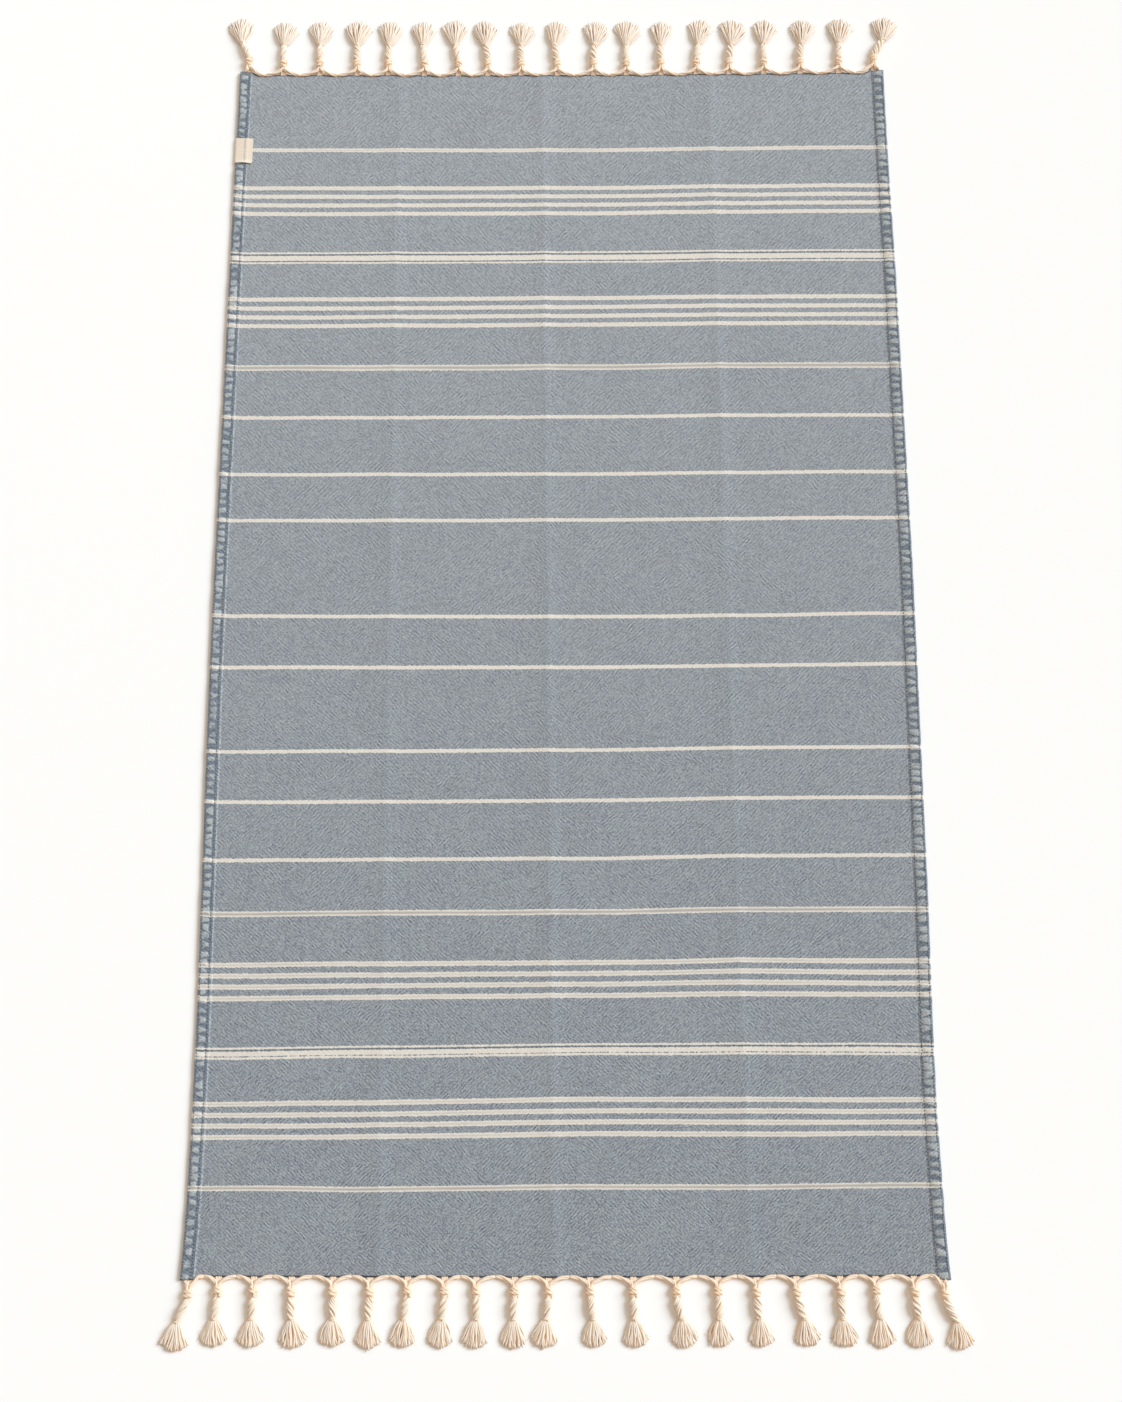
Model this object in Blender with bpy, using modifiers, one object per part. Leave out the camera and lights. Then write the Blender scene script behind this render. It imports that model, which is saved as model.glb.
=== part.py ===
"""Hammam towel laid flat on a surface: a thin woven cloth with hemmed long sides and three soft
lengthwise fold ridges, a bare label folded over the left hem, and a row of knotted tassels on each end.

Metres, +Z up, +Y along the towel. The origin is the middle of the underside of the whole towel.
"""

import math
from collections import namedtuple

import bmesh
import bpy
from mathutils import Vector

# ---- driving dimensions -------------------------------------------------------------------------

GAP = 0.0003                # between pieces that touch
CLOTH_THICKNESS = 0.0020
HEM_THICKNESS = 0.0032      # the side hems are three layers of the cloth
HEM_WIDTH = 0.0175
HEM_STEP = 0.0020           # width over which the hem drops to the single cloth
HEM_PULL = 0.0065           # width beside the hem over which its outstanding corner dies out

FOLD_FOOT = 0.0200          # half width of a fold ridge where it leaves the surface
FOLD_SHOULDER = 0.0085      # half width of its steeper top
FOLD_SHOULDER_SHARE = 0.40  # height of the shoulder as a share of the crest

LABEL_TAPE = 0.0008         # thickness of the label's tape
LABEL_LENGTH = 0.0440       # along the hem
LABEL_REACH = 0.0255        # how far the tape reaches in from the cloth's side
LABEL_OVERHANG = 0.0020     # how far its fold stands off the cloth's side
LABEL_MIDDLE_Y = 0.7630
LABEL_RAMP = 0.0300         # length over which the cloth comes down again around the label's tape

LEG_RADIUS = 0.0023         # one of the two yarn bundles that form a tassel
LEG_SPREAD = 0.0220         # how far aside the legs of the plain tassel start
LEG_OFFSET = 0.0040         # half the distance between the legs of two neighbouring tassels
CORNER_INSET = 0.0070       # first leg of a corner tassel, in from the cloth's side
FORK_Y = 0.0110             # distance from the cloth at which the two legs have come together
NECK_Y = 0.0525             # end of the twisted stem
TIP_Y = 0.0880              # end of the tuft
TASSEL_SIDES = 8

# Outline of the cloth's sides, from the far end to the near end.
Side = namedtuple("Side", "y left right")
SIDES = (
    Side(0.900, -0.5033, 0.4982),
    Side(0.720, -0.5038, 0.4992),
    Side(0.560, -0.5036, 0.5014),
    Side(0.320, -0.5030, 0.5022),
    Side(0.080, -0.5026, 0.5030),
    Side(-0.080, -0.5018, 0.5020),
    Side(-0.240, -0.4995, 0.5007),
    Side(-0.400, -0.4968, 0.4997),
    Side(-0.560, -0.4943, 0.4970),
    Side(-0.680, -0.4938, 0.4962),
    Side(-0.800, -0.4950, 0.4987),
    Side(-0.900, -0.4993, 0.5030),
)

# Outline of the cloth's two ends between the hems.
End = namedtuple("End", "x far near")
ENDS = (
    End(-0.475, 0.8970, -0.8963),
    End(-0.200, 0.8963, -0.8967),
    End(0.000, 0.8968, -0.8972),
    End(0.200, 0.8983, -0.8967),
    End(0.400, 0.9005, -0.8950),
    End(0.475, 0.9018, -0.8955),
)

# How far the hems' corners stand past the ends of the single cloth.
Corner = namedtuple("Corner", "x far near")
CORNERS = (
    Corner(-0.500, 0.0043, 0.0040),
    Corner(0.500, 0.0040, 0.0040),
)

# The three fold ridges, each from its place at the near end to its place at the far end.
Fold = namedtuple("Fold", "x_near x_far height")
FOLDS = (
    Fold(-0.2430, -0.2560, 0.0021),
    Fold(-0.0130, -0.0330, 0.0026),
    Fold(0.2430, 0.2260, 0.0022),
)

# Tassels from left to right: where the knot, the end of the stem and the middle of the tuft lie.
Tassel = namedtuple("Tassel", "knot neck tuft")
FAR_TASSELS = (
    Tassel(-0.491, -0.503, -0.506),
    Tassel(-0.437, -0.437, -0.433),
    Tassel(-0.380, -0.381, -0.378),
    Tassel(-0.322, -0.323, -0.319),
    Tassel(-0.273, -0.273, -0.269),
    Tassel(-0.217, -0.220, -0.218),
    Tassel(-0.164, -0.169, -0.170),
    Tassel(-0.118, -0.122, -0.123),
    Tassel(-0.066, -0.066, -0.062),
    Tassel(-0.010, -0.014, -0.007),
    Tassel(0.047, 0.049, 0.055),
    Tassel(0.098, 0.098, 0.103),
    Tassel(0.152, 0.152, 0.157),
    Tassel(0.207, 0.211, 0.217),
    Tassel(0.258, 0.262, 0.268),
    Tassel(0.312, 0.313, 0.319),
    Tassel(0.369, 0.373, 0.379),
    Tassel(0.429, 0.431, 0.436),
    Tassel(0.484, 0.500, 0.508),
)
NEAR_TASSELS = (
    Tassel(-0.487, -0.500, -0.503),
    Tassel(-0.449, -0.452, -0.451),
    Tassel(-0.403, -0.404, -0.403),
    Tassel(-0.354, -0.352, -0.347),
    Tassel(-0.300, -0.299, -0.299),
    Tassel(-0.252, -0.253, -0.252),
    Tassel(-0.203, -0.207, -0.209),
    Tassel(-0.155, -0.158, -0.161),
    Tassel(-0.114, -0.113, -0.116),
    Tassel(-0.064, -0.065, -0.065),
    Tassel(-0.020, -0.023, -0.027),
    Tassel(0.034, 0.038, 0.041),
    Tassel(0.090, 0.091, 0.094),
    Tassel(0.146, 0.153, 0.158),
    Tassel(0.200, 0.201, 0.203),
    Tassel(0.250, 0.253, 0.257),
    Tassel(0.302, 0.311, 0.317),
    Tassel(0.359, 0.360, 0.364),
    Tassel(0.405, 0.409, 0.412),
    Tassel(0.455, 0.459, 0.460),
    Tassel(0.494, 0.508, 0.514),
)

# Cross-sections of a tassel along its length, from the fork to the tips of its yarns.
Section = namedtuple("Section", "y half_width half_height")
TASSEL_SECTIONS = (
    Section(0.0090, 0.0046, 0.0040),
    Section(0.0150, 0.0056, 0.0052),
    Section(0.0225, 0.0056, 0.0052),
    Section(0.0265, 0.0042, 0.0040),
    Section(0.0390, 0.0050, 0.0043),
    Section(NECK_Y, 0.0036, 0.0034),
    Section(0.0640, 0.0110, 0.0042),
    Section(0.0790, 0.0180, 0.0034),
    Section(TIP_Y, 0.0165, 0.0018),
)

# Middle line of one leg of the plain tassel, from the cloth to the fork.
LegPoint = namedtuple("LegPoint", "x y z")
LEG_LINE = (
    LegPoint(LEG_SPREAD, LEG_RADIUS, LEG_RADIUS),
    LegPoint(0.0110, 0.0047, 0.0026),
    LegPoint(0.0018, 0.0120, 0.0040),
)

Finish = namedtuple("Finish", "name color roughness")
CLOTH_FINISH = Finish("woven_cotton_blue", (0.296, 0.330, 0.358, 1.0), 0.90)
LABEL_FINISH = Finish("label_tape_cream", (0.760, 0.680, 0.580, 1.0), 0.85)
TASSEL_FINISH = Finish("cotton_yarn_cream", (0.780, 0.600, 0.440, 1.0), 0.92)

Point = namedtuple("Point", "x y")

# ---- shapes of the towel as functions of place ---------------------------------------------------


def read_table(rows, key, column, at):
    """Value of a table's column at a place along its key, straight between two rows."""
    ordered = sorted(rows, key=lambda row: getattr(row, key))
    at = min(max(at, getattr(ordered[0], key)), getattr(ordered[-1], key))
    for low, high in zip(ordered, ordered[1:]):
        start, stop = getattr(low, key), getattr(high, key)
        if at <= stop:
            share = (at - start) / (stop - start)
            return (1.0 - share) * getattr(low, column) + share * getattr(high, column)
    return getattr(ordered[-1], column)


def side_x(y, side):
    """Where the cloth's side is at y; side is 'left' or 'right'."""
    return read_table(SIDES, "y", side, y)


def end_y(x, end):
    """Where the cloth ends at x; end is 'far' or 'near'."""
    row = SIDES[0] if end == "far" else SIDES[-1]
    outward = 1.0 if end == "far" else -1.0
    inward = min(x - row.left, row.right - x) - HEM_WIDTH - HEM_STEP
    pull = min(max(1.0 - inward / HEM_PULL, 0.0), 1.0)
    return read_table(ENDS, "x", end, x) + outward * pull * read_table(CORNERS, "x", end, x)


def length_share(y):
    """0 at the near end of the cloth and 1 at the far end."""
    return min(max((y - SIDES[-1].y) / (SIDES[0].y - SIDES[-1].y), 0.0), 1.0)


def fold_x(fold, y):
    share = length_share(y)
    return (1.0 - share) * fold.x_near + share * fold.x_far


def fold_height(x, y):
    """Height of the underside over the surface, from the fold ridges."""
    height = 0.0
    for fold in FOLDS:
        distance = abs(x - fold_x(fold, y))
        if distance < FOLD_SHOULDER:
            share = 1.0 - (1.0 - FOLD_SHOULDER_SHARE) * distance / FOLD_SHOULDER
        else:
            share = FOLD_SHOULDER_SHARE * (FOLD_FOOT - distance) / (FOLD_FOOT - FOLD_SHOULDER)
        height += fold.height * max(share, 0.0)
    return height


def label_lift(x, y):
    """Height of the underside over the surface where the label's lower flap lies under the hem."""
    inward = x - side_x(y, "left") - LABEL_REACH - GAP
    along = abs(y - LABEL_MIDDLE_Y) - LABEL_LENGTH / 2 - GAP
    share = (1.0 - max(inward, 0.0) / LABEL_RAMP) * (1.0 - max(along, 0.0) / LABEL_RAMP)
    if inward > LABEL_RAMP or along > LABEL_RAMP:
        return 0.0
    return (LABEL_TAPE + GAP) * max(share, 0.0)


# ---- helpers ---------------------------------------------------------------------------------------


def clear_scene():
    for thing in list(bpy.data.objects):
        bpy.data.objects.remove(thing, do_unlink=True)


def new_material(finish):
    material = bpy.data.materials.new(finish.name)
    material.use_nodes = True
    shader = material.node_tree.nodes["Principled BSDF"]
    shader.inputs["Base Color"].default_value = finish.color
    shader.inputs["Roughness"].default_value = finish.roughness
    shader.inputs["Metallic"].default_value = 0.0
    material.diffuse_color = finish.color
    return material


def new_object(name, mesh, material, collection, parent=None):
    mesh.materials.clear()
    mesh.materials.append(material)
    thing = bpy.data.objects.new(name, mesh)
    collection.objects.link(thing)
    thing.parent = parent
    return thing


def mesh_from_bmesh(name, shape):
    bmesh.ops.recalc_face_normals(shape, faces=shape.faces)
    mesh = bpy.data.meshes.new(name)
    shape.to_mesh(mesh)
    shape.free()
    return mesh


# ---- cloth -----------------------------------------------------------------------------------------


def cloth_columns(y):
    """x of each lengthwise line of the cloth's grid at y, from left to right."""
    left, right = side_x(y, "left"), side_x(y, "right")
    hem = [0.0, HEM_WIDTH, HEM_WIDTH + HEM_STEP, HEM_WIDTH + HEM_STEP + HEM_PULL]
    columns = [left + inset for inset in hem] + [left + LABEL_REACH + LABEL_RAMP]
    for fold in FOLDS:
        middle = fold_x(fold, y)
        columns += [middle - FOLD_FOOT, middle - FOLD_SHOULDER, middle]
        columns += [middle + FOLD_SHOULDER, middle + FOLD_FOOT]
    return columns + [right - inset for inset in reversed(hem)]


def end_line(end):
    """The corners of the cloth's end, one for each lengthwise line of its grid."""
    row = SIDES[0] if end == "far" else SIDES[-1]
    return [Point(x, end_y(x, end)) for x in cloth_columns(row.y)]


def cloth_rows():
    """y of each crosswise line of the cloth's grid, from the near end to the far end."""
    half = LABEL_LENGTH / 2 + 2 * GAP
    rows = {row.y for row in SIDES}
    rows |= {LABEL_MIDDLE_Y - half - LABEL_RAMP, LABEL_MIDDLE_Y - half}
    rows |= {LABEL_MIDDLE_Y + half, LABEL_MIDDLE_Y + half + LABEL_RAMP}
    return sorted(rows)


def make_cloth(material, collection, parent):
    """Underside of the cloth as a grid, thickened upwards: more at the hems than between them."""
    rows = cloth_rows()
    count = len(cloth_columns(rows[0]))
    shape = bmesh.new()
    bmesh.ops.create_grid(shape, x_segments=count - 1, y_segments=len(rows) - 1, size=1.0)
    shape.verts.ensure_lookup_table()
    thick = {}
    for vertex in shape.verts:
        column = round((vertex.co.x + 1.0) / 2.0 * (count - 1))
        row = round((vertex.co.y + 1.0) / 2.0 * (len(rows) - 1))
        y = rows[row]
        x = cloth_columns(y)[column]
        on_hem = column < 2 or column >= count - 2
        thick[vertex.index] = 1.0 if on_hem else CLOTH_THICKNESS / HEM_THICKNESS
        if row == 0:
            y = end_y(x, "near")
        elif row == len(rows) - 1:
            y = end_y(x, "far")
        vertex.co = (x, y, fold_height(x, y) + label_lift(x, y))
    mesh = bpy.data.meshes.new("towel_cloth")
    shape.to_mesh(mesh)
    shape.free()
    cloth = new_object("towel_cloth", mesh, material, collection, parent)
    group = cloth.vertex_groups.new(name="thickness")
    for index, weight in thick.items():
        group.add([index], weight, "REPLACE")
    solid = cloth.modifiers.new("thickness", "SOLIDIFY")
    solid.thickness = HEM_THICKNESS
    solid.offset = 1.0
    solid.vertex_group = group.name
    return cloth


# ---- label -----------------------------------------------------------------------------------------


def make_label(material, collection, parent):
    """A strip of tape around the hem's outer edge: one flap over the cloth and one under it."""
    side = side_x(LABEL_MIDDLE_Y, "left")
    outer = side - LABEL_OVERHANG
    inner = side + LABEL_REACH
    low_top = LABEL_TAPE
    high_bottom = low_top + GAP + HEM_THICKNESS + GAP
    hem_end = side + HEM_WIDTH + HEM_STEP + GAP
    field_bottom = low_top + GAP + CLOTH_THICKNESS + GAP
    profile = (
        (inner, 0.0),
        (outer + LABEL_TAPE, 0.0),
        (outer, LABEL_TAPE),
        (outer, high_bottom),
        (outer + LABEL_TAPE, high_bottom + LABEL_TAPE),
        (hem_end, high_bottom + LABEL_TAPE),
        (inner, field_bottom + LABEL_TAPE),
        (inner, field_bottom),
        (hem_end, high_bottom),
        (outer + LABEL_TAPE, high_bottom),
        (outer + LABEL_TAPE, low_top),
        (inner, low_top),
    )
    shape = bmesh.new()
    start = LABEL_MIDDLE_Y - LABEL_LENGTH / 2
    corners = [shape.verts.new((x, start, z)) for x, z in profile]
    face = shape.faces.new(corners)
    made = bmesh.ops.extrude_face_region(shape, geom=[face])
    moved = [item for item in made["geom"] if isinstance(item, bmesh.types.BMVert)]
    bmesh.ops.translate(shape, verts=moved, vec=(0.0, LABEL_LENGTH, 0.0))
    return new_object("label", mesh_from_bmesh("label", shape), material, collection, parent)


# ---- tassels ---------------------------------------------------------------------------------------


def tassel_body_mesh():
    """Knot, stem and tuft: rings of unlike ovals along +Y, all lying on the surface."""
    shape = bmesh.new()
    rings = []
    for section in TASSEL_SECTIONS:
        ring = []
        for side in range(TASSEL_SIDES):
            angle = 2.0 * math.pi * (side + 0.5) / TASSEL_SIDES
            x = section.half_width * math.cos(angle)
            z = section.half_height * (1.0 + math.sin(angle))
            ring.append(shape.verts.new((x, section.y, z)))
        rings.append(ring)
    for ring, following in zip(rings, rings[1:]):
        for side in range(TASSEL_SIDES):
            after = (side + 1) % TASSEL_SIDES
            shape.faces.new((ring[side], ring[after], following[after], following[side]))
    shape.faces.new(rings[0])
    shape.faces.new(rings[-1])
    return mesh_from_bmesh("tassel_body", shape)


def leg_mesh(mirror):
    """One leg as a tube along its line; mirror is 1 or -1 for the right or the left leg."""
    curve = bpy.data.curves.new("leg", "CURVE")
    curve.dimensions = "3D"
    curve.bevel_depth = LEG_RADIUS
    curve.bevel_resolution = 1
    curve.use_fill_caps = True
    line = curve.splines.new("POLY")
    line.points.add(len(LEG_LINE) - 1)
    for point, place in zip(line.points, LEG_LINE):
        point.co = (mirror * place.x, place.y, place.z, 1.0)
    thing = bpy.data.objects.new("leg", curve)
    bpy.context.scene.collection.objects.link(thing)
    bpy.context.view_layer.update()
    mesh = bpy.data.meshes.new_from_object(thing.evaluated_get(bpy.context.evaluated_depsgraph_get()))
    bpy.data.objects.remove(thing, do_unlink=True)
    shape = bmesh.new()
    shape.from_mesh(mesh)
    bmesh.ops.remove_doubles(shape, verts=shape.verts, dist=0.00001)
    return mesh_from_bmesh("leg", shape)


def plain_tassel_mesh():
    """The straight tassel that every other one is bent from: its body joined with its two legs."""
    body = bpy.data.objects.new("plain_tassel", tassel_body_mesh())
    bpy.context.scene.collection.objects.link(body)
    legs = []
    for mirror in (1, -1):
        leg = bpy.data.objects.new("leg", leg_mesh(mirror))
        bpy.context.scene.collection.objects.link(leg)
        join = body.modifiers.new("leg", "BOOLEAN")
        join.operation = "UNION"
        join.object = leg
        legs.append(leg)
    bpy.context.view_layer.update()
    mesh = bpy.data.meshes.new_from_object(body.evaluated_get(bpy.context.evaluated_depsgraph_get()))
    for thing in legs + [body]:
        bpy.data.objects.remove(thing, do_unlink=True)
    return mesh


def leg_starts(row, index, end):
    """x of the left and right leg of one tassel where they leave the cloth."""
    edge = SIDES[0].y if end == "far" else SIDES[-1].y
    left = side_x(edge, "left") + CORNER_INSET
    right = side_x(edge, "right") - CORNER_INSET
    if index > 0:
        left = (row[index - 1].knot + row[index].knot) / 2 + LEG_OFFSET
    if index < len(row) - 1:
        right = (row[index].knot + row[index + 1].knot) / 2 - LEG_OFFSET
    return left, right


def stem_shift(tassel, y):
    """Sideways distance of the stem and the tuft from the knot, at a distance y from the cloth."""
    knot_end = TASSEL_SECTIONS[2].y
    if y <= knot_end:
        return 0.0
    if y <= NECK_Y:
        share = (y - knot_end) / (NECK_Y - knot_end)
        return share * (tassel.neck - tassel.knot)
    share = (y - NECK_Y) / (TIP_Y - NECK_Y)
    return (1.0 - share) * (tassel.neck - tassel.knot) + share * (tassel.tuft - tassel.knot)


def make_tassel(name, plain, row, index, end, material, collection, parent):
    """Bend a copy of the plain tassel into its place: its legs reach the cloth, its tuft leans."""
    outward = 1.0 if end == "far" else -1.0
    tassel = row[index]
    line = end_line(end)
    left, right = leg_starts(row, index, end)
    mesh = plain.copy()
    mesh.name = name
    for vertex in mesh.vertices:
        across, along, up = vertex.co
        across *= outward
        spread = right - tassel.knot if across > 0.0 else tassel.knot - left
        reach = max(1.0 - along / FORK_Y, 0.0)
        widen = 1.0 + reach * (spread / LEG_SPREAD - 1.0)
        x = tassel.knot + across * widen + stem_shift(tassel, along)
        root = read_table(line, "x", "y", x)
        middle = read_table(line, "x", "y", tassel.knot)
        y = reach * root + (1.0 - reach) * middle + outward * (along + GAP)
        clear = root + outward * GAP
        y = max(y, clear) if end == "far" else min(y, clear)
        vertex.co = Vector((x, y, up))
    return new_object(name, mesh, material, collection, parent)


def make_tassels(material, collection, parent):
    plain = plain_tassel_mesh()
    tassels = []
    for end, row in (("far", FAR_TASSELS), ("near", NEAR_TASSELS)):
        for index in range(len(row)):
            name = f"tassel_{end}_{index + 1:02d}"
            tassels.append(make_tassel(name, plain, row, index, end, material, collection, parent))
    bpy.data.meshes.remove(plain)
    return tassels


# ---- assembly --------------------------------------------------------------------------------------


def middle_of(things):
    """Middle of the box around the things, in X and Y."""
    bpy.context.view_layer.update()
    graph = bpy.context.evaluated_depsgraph_get()
    corners = []
    for thing in things:
        shaped = thing.evaluated_get(graph)
        corners += [shaped.matrix_world @ Vector(corner) for corner in shaped.bound_box]
    middle_x = (min(c.x for c in corners) + max(c.x for c in corners)) / 2
    middle_y = (min(c.y for c in corners) + max(c.y for c in corners)) / 2
    return Vector((middle_x, middle_y, 0.0))


def main():
    clear_scene()
    collection = bpy.data.collections.new("hammam_towel")
    bpy.context.scene.collection.children.link(collection)
    frame = bpy.data.objects.new("towel_frame", None)
    collection.objects.link(frame)

    cloth = make_cloth(new_material(CLOTH_FINISH), collection, frame)
    label = make_label(new_material(LABEL_FINISH), collection, frame)
    tassels = make_tassels(new_material(TASSEL_FINISH), collection, frame)
    frame.location = -middle_of([cloth, label] + tassels)
    bpy.context.view_layer.update()


main()
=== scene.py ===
"""Looks of the hammam towel: a fine twill cloth with cream weft stripes, three pressed fold ridges, puckered
side hems with their stitches, a bare label folded round one hem, and a knotted tassel of real yarns at
every place along both ends. Metres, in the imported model's own frame."""

import math
from collections import namedtuple

import bpy
import numpy as np
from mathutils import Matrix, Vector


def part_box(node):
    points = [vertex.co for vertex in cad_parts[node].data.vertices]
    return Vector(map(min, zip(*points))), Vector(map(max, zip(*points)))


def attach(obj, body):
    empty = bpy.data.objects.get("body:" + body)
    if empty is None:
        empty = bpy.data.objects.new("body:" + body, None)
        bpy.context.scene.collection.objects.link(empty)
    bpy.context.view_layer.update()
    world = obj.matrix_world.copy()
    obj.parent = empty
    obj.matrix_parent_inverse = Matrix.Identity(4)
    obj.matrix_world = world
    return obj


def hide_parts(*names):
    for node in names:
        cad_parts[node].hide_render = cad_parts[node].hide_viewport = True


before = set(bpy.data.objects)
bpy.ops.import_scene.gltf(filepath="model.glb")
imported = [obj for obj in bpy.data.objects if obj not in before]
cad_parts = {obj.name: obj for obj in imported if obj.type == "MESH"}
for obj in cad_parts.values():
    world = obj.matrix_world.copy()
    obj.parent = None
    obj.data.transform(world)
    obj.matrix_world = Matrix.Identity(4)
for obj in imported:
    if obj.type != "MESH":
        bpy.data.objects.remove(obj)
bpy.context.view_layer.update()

MM = 0.001
TAU = 2.0 * math.pi
rng = np.random.default_rng(20)

# ---- driving sizes ----

CLOTH_TOP = 1.95 * MM  # upper face of the single cloth over the surface
CLOTH_SHEET = 1.70 * MM  # its thickness
FIELD_UNDER_HEM = 2.5 * MM  # how far the single cloth runs in under the hem's inner edge
HEM_ACROSS = 20.0 * MM  # width of the hem down to where it meets the single cloth
LABEL_LIFT = 1.1 * MM  # the label's lower flap and its gap, which the hem lies on
LABEL_RAMP = 30.0 * MM  # length over which the cloth comes down again round that flap
LABEL_TAPE = 0.7 * MM
LABEL_SEAM = 0.56  # share of the label's width at which it is sewn to the cloth
ROW_STEP = 9.0 * MM  # longest step between two crosswise lines of the field's mesh
COLUMN_STEP = 8.3 * MM  # longest step between two lengthwise lines
SIDE_INSETS = (0.0, 1.2, 2.5, 4.5, 7.5, 12.0)  # lines near the hems, in millimetres, and near folds
FOLD_STEPS = (0.0, 1.6, 3.2, 5.0, 7.0, 9.5, 13.0, 18.0, 24.0, 31.0)
HEM_STRIPS = 8  # strips into which a hem's map is cut
HEM_STEP = 1.6 * MM  # longest step along the hems
END_ZONE = 45.0 * MM  # length over which weft lines bend to the cloth's end
RIDGE_LEFT = 20.0 * MM  # how far a pressed fold's slopes reach on either side of its top
RIDGE_RIGHT = 12.0 * MM
RIDGE_SHARE = 0.60  # the pressed folds have relaxed to this share of the CAD's height
END_GROWTH = 2.2 * MM  # how far the cloth's soft end reaches past the CAD's
SIDE_GROWTH = 0.6 * MM
FLARE_START = 0.790  # from here to the near end the sides spread
FLARE_LENGTH = 0.110
NEAR_FLARE = {False: 3.6 * MM, True: 4.2 * MM}
SCALLOP = 2.5 * MM  # how far the end is drawn in where the tassels' legs leave it

# The cream weft stripes by kind: width, how strongly a dark weft yarn parts one along its middle, how
# dark the cloth next to it is, and the y of each one's middle.
StripeKind = namedtuple("StripeKind", "width split beside middles")
STRIPE_KINDS = (
    StripeKind(0.0064, 0.55, 0.0, (0.7630,)),
    StripeKind(0.0066, 0.35, 0.0, (0.6973, 0.6830, 0.6685, 0.6539, 0.5106, 0.4956, 0.4809, 0.4663)),
    StripeKind(0.0028, 0.00, 1.0, (0.5876, 0.5710)),
    StripeKind(0.0083, 0.20, 1.0, (0.5788,)),
    StripeKind(0.0090, 1.00, 0.0, (0.3966,)),
    StripeKind(0.0054, 0.25, 0.0, (0.3160, 0.2252, 0.1530, 0.0048, -0.0709)),
    StripeKind(0.0051, 0.25, 0.0, (-0.1923, -0.2651, -0.3472)),
    StripeKind(0.0075, 1.00, 0.0, (-0.4217,)),
    StripeKind(0.0066, 0.60, 0.0, (-0.4912, -0.5060, -0.5205, -0.5357, -0.6737, -0.6889, -0.7033, -0.7187)),
    StripeKind(0.0025, 0.00, 1.0, (-0.6012,)),
    StripeKind(0.0063, 0.20, 1.0, (-0.6085,)),
    StripeKind(0.0030, 0.00, 1.0, (-0.6142,)),
    StripeKind(0.0070, 1.00, 0.0, (-0.7871,)),
)
Stripe = namedtuple("Stripe", "y width split beside")
STRIPES = sorted((Stripe(y, *kind[:3]) for kind in STRIPE_KINDS for y in kind.middles), reverse=True)

# How far a weft line has drifted along the towel, in millimetres, at five places across it.
DRIFT_PLACES = (-0.447, -0.287, 0.042, 0.247, 0.432)
Drift = namedtuple("Drift", "y left_outer left middle right right_outer")
DRIFTS = (
    Drift(0.900, -0.3, -0.8, 0.0, 1.5, 3.6),
    Drift(0.760, 0.0, -0.6, 0.0, 3.0, 5.0),
    Drift(0.510, -3.0, -2.2, 0.0, 2.2, 2.8),
    Drift(0.400, -1.7, -1.4, 0.0, 3.0, 3.2),
    Drift(0.160, -1.2, -1.0, 0.0, 2.1, 3.7),
    Drift(0.000, 1.3, 0.3, 0.0, 2.1, 5.2),
    Drift(-0.190, -2.7, -1.9, 0.0, 3.3, 4.3),
    Drift(-0.345, -2.7, -1.6, 0.0, 3.9, 5.0),
    Drift(-0.490, -3.6, -1.8, 0.0, 3.4, 2.2),
    Drift(-0.670, -7.1, -4.9, 0.0, -0.4, -1.1),
    Drift(-0.785, -1.9, -3.6, 0.0, -0.5, 2.0),
    Drift(-0.900, 0.8, 0.5, 0.0, 0.6, 2.1),
)

# Cross-section of a hem, from its outer edge inwards and back along its underside: distance from the
# outer edge and height in millimetres, and how much of a pucker's height shows there.
HemPoint = namedtuple("HemPoint", "inward z pucker")
HEM_SECTION = [HemPoint(inward * MM, z * MM, pucker) for inward, z, pucker in (
    (0.8, 0.2, 0.0),
    (0.0, 1.7, 0.0),
    (0.4, 3.0, 0.0),
    (1.4, 3.7, 0.1),
    (2.8, 3.6, 0.4),
    (4.1, 3.6, 0.8),
    (5.5, 3.7, 1.0),
    (7.0, 3.7, 1.0),
    (8.5, 3.7, 1.0),
    (10.0, 3.6, 1.0),
    (11.4, 3.4, 0.9),
    (12.7, 3.1, 0.6),
    (13.9, 2.8, 0.1),
    (14.8, 2.7, 0.0),
    (15.8, 2.7, 0.0),
    (17.0, 2.8, 0.0),
    (18.2, 2.5, 0.0),
    (19.2, 2.0, 0.0),
    (20.0, 1.4, 0.0),
    (19.4, 0.2, 0.0),
    (10.0, 0.2, 0.0),
)]
# By side, with True for the right: the left hem is plumper and its outer edge stands up a little, and
# the right one is wider, with pads that reach further in (in millimetres).
HEM_FULLNESS = {False: 1.15, True: 0.85}
HEM_CURL = {False: 1.5 * MM, True: 0.0}
HEM_WIDER = {False: 1.0, True: 1.16}
PAD_LONGER = {False: 0.2, True: 2.1}
PUCKER_PITCH = 11.6 * MM
PUCKER_HEIGHT = 1.0 * MM
STITCH_PITCH = 4.2 * MM
STITCH_THICK = 0.62 * MM
STITCH_INWARD = 14.4 * MM  # the stitch line's distance from the hem's outer edge
OUTER_STITCH_INWARD = 2.7 * MM

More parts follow.
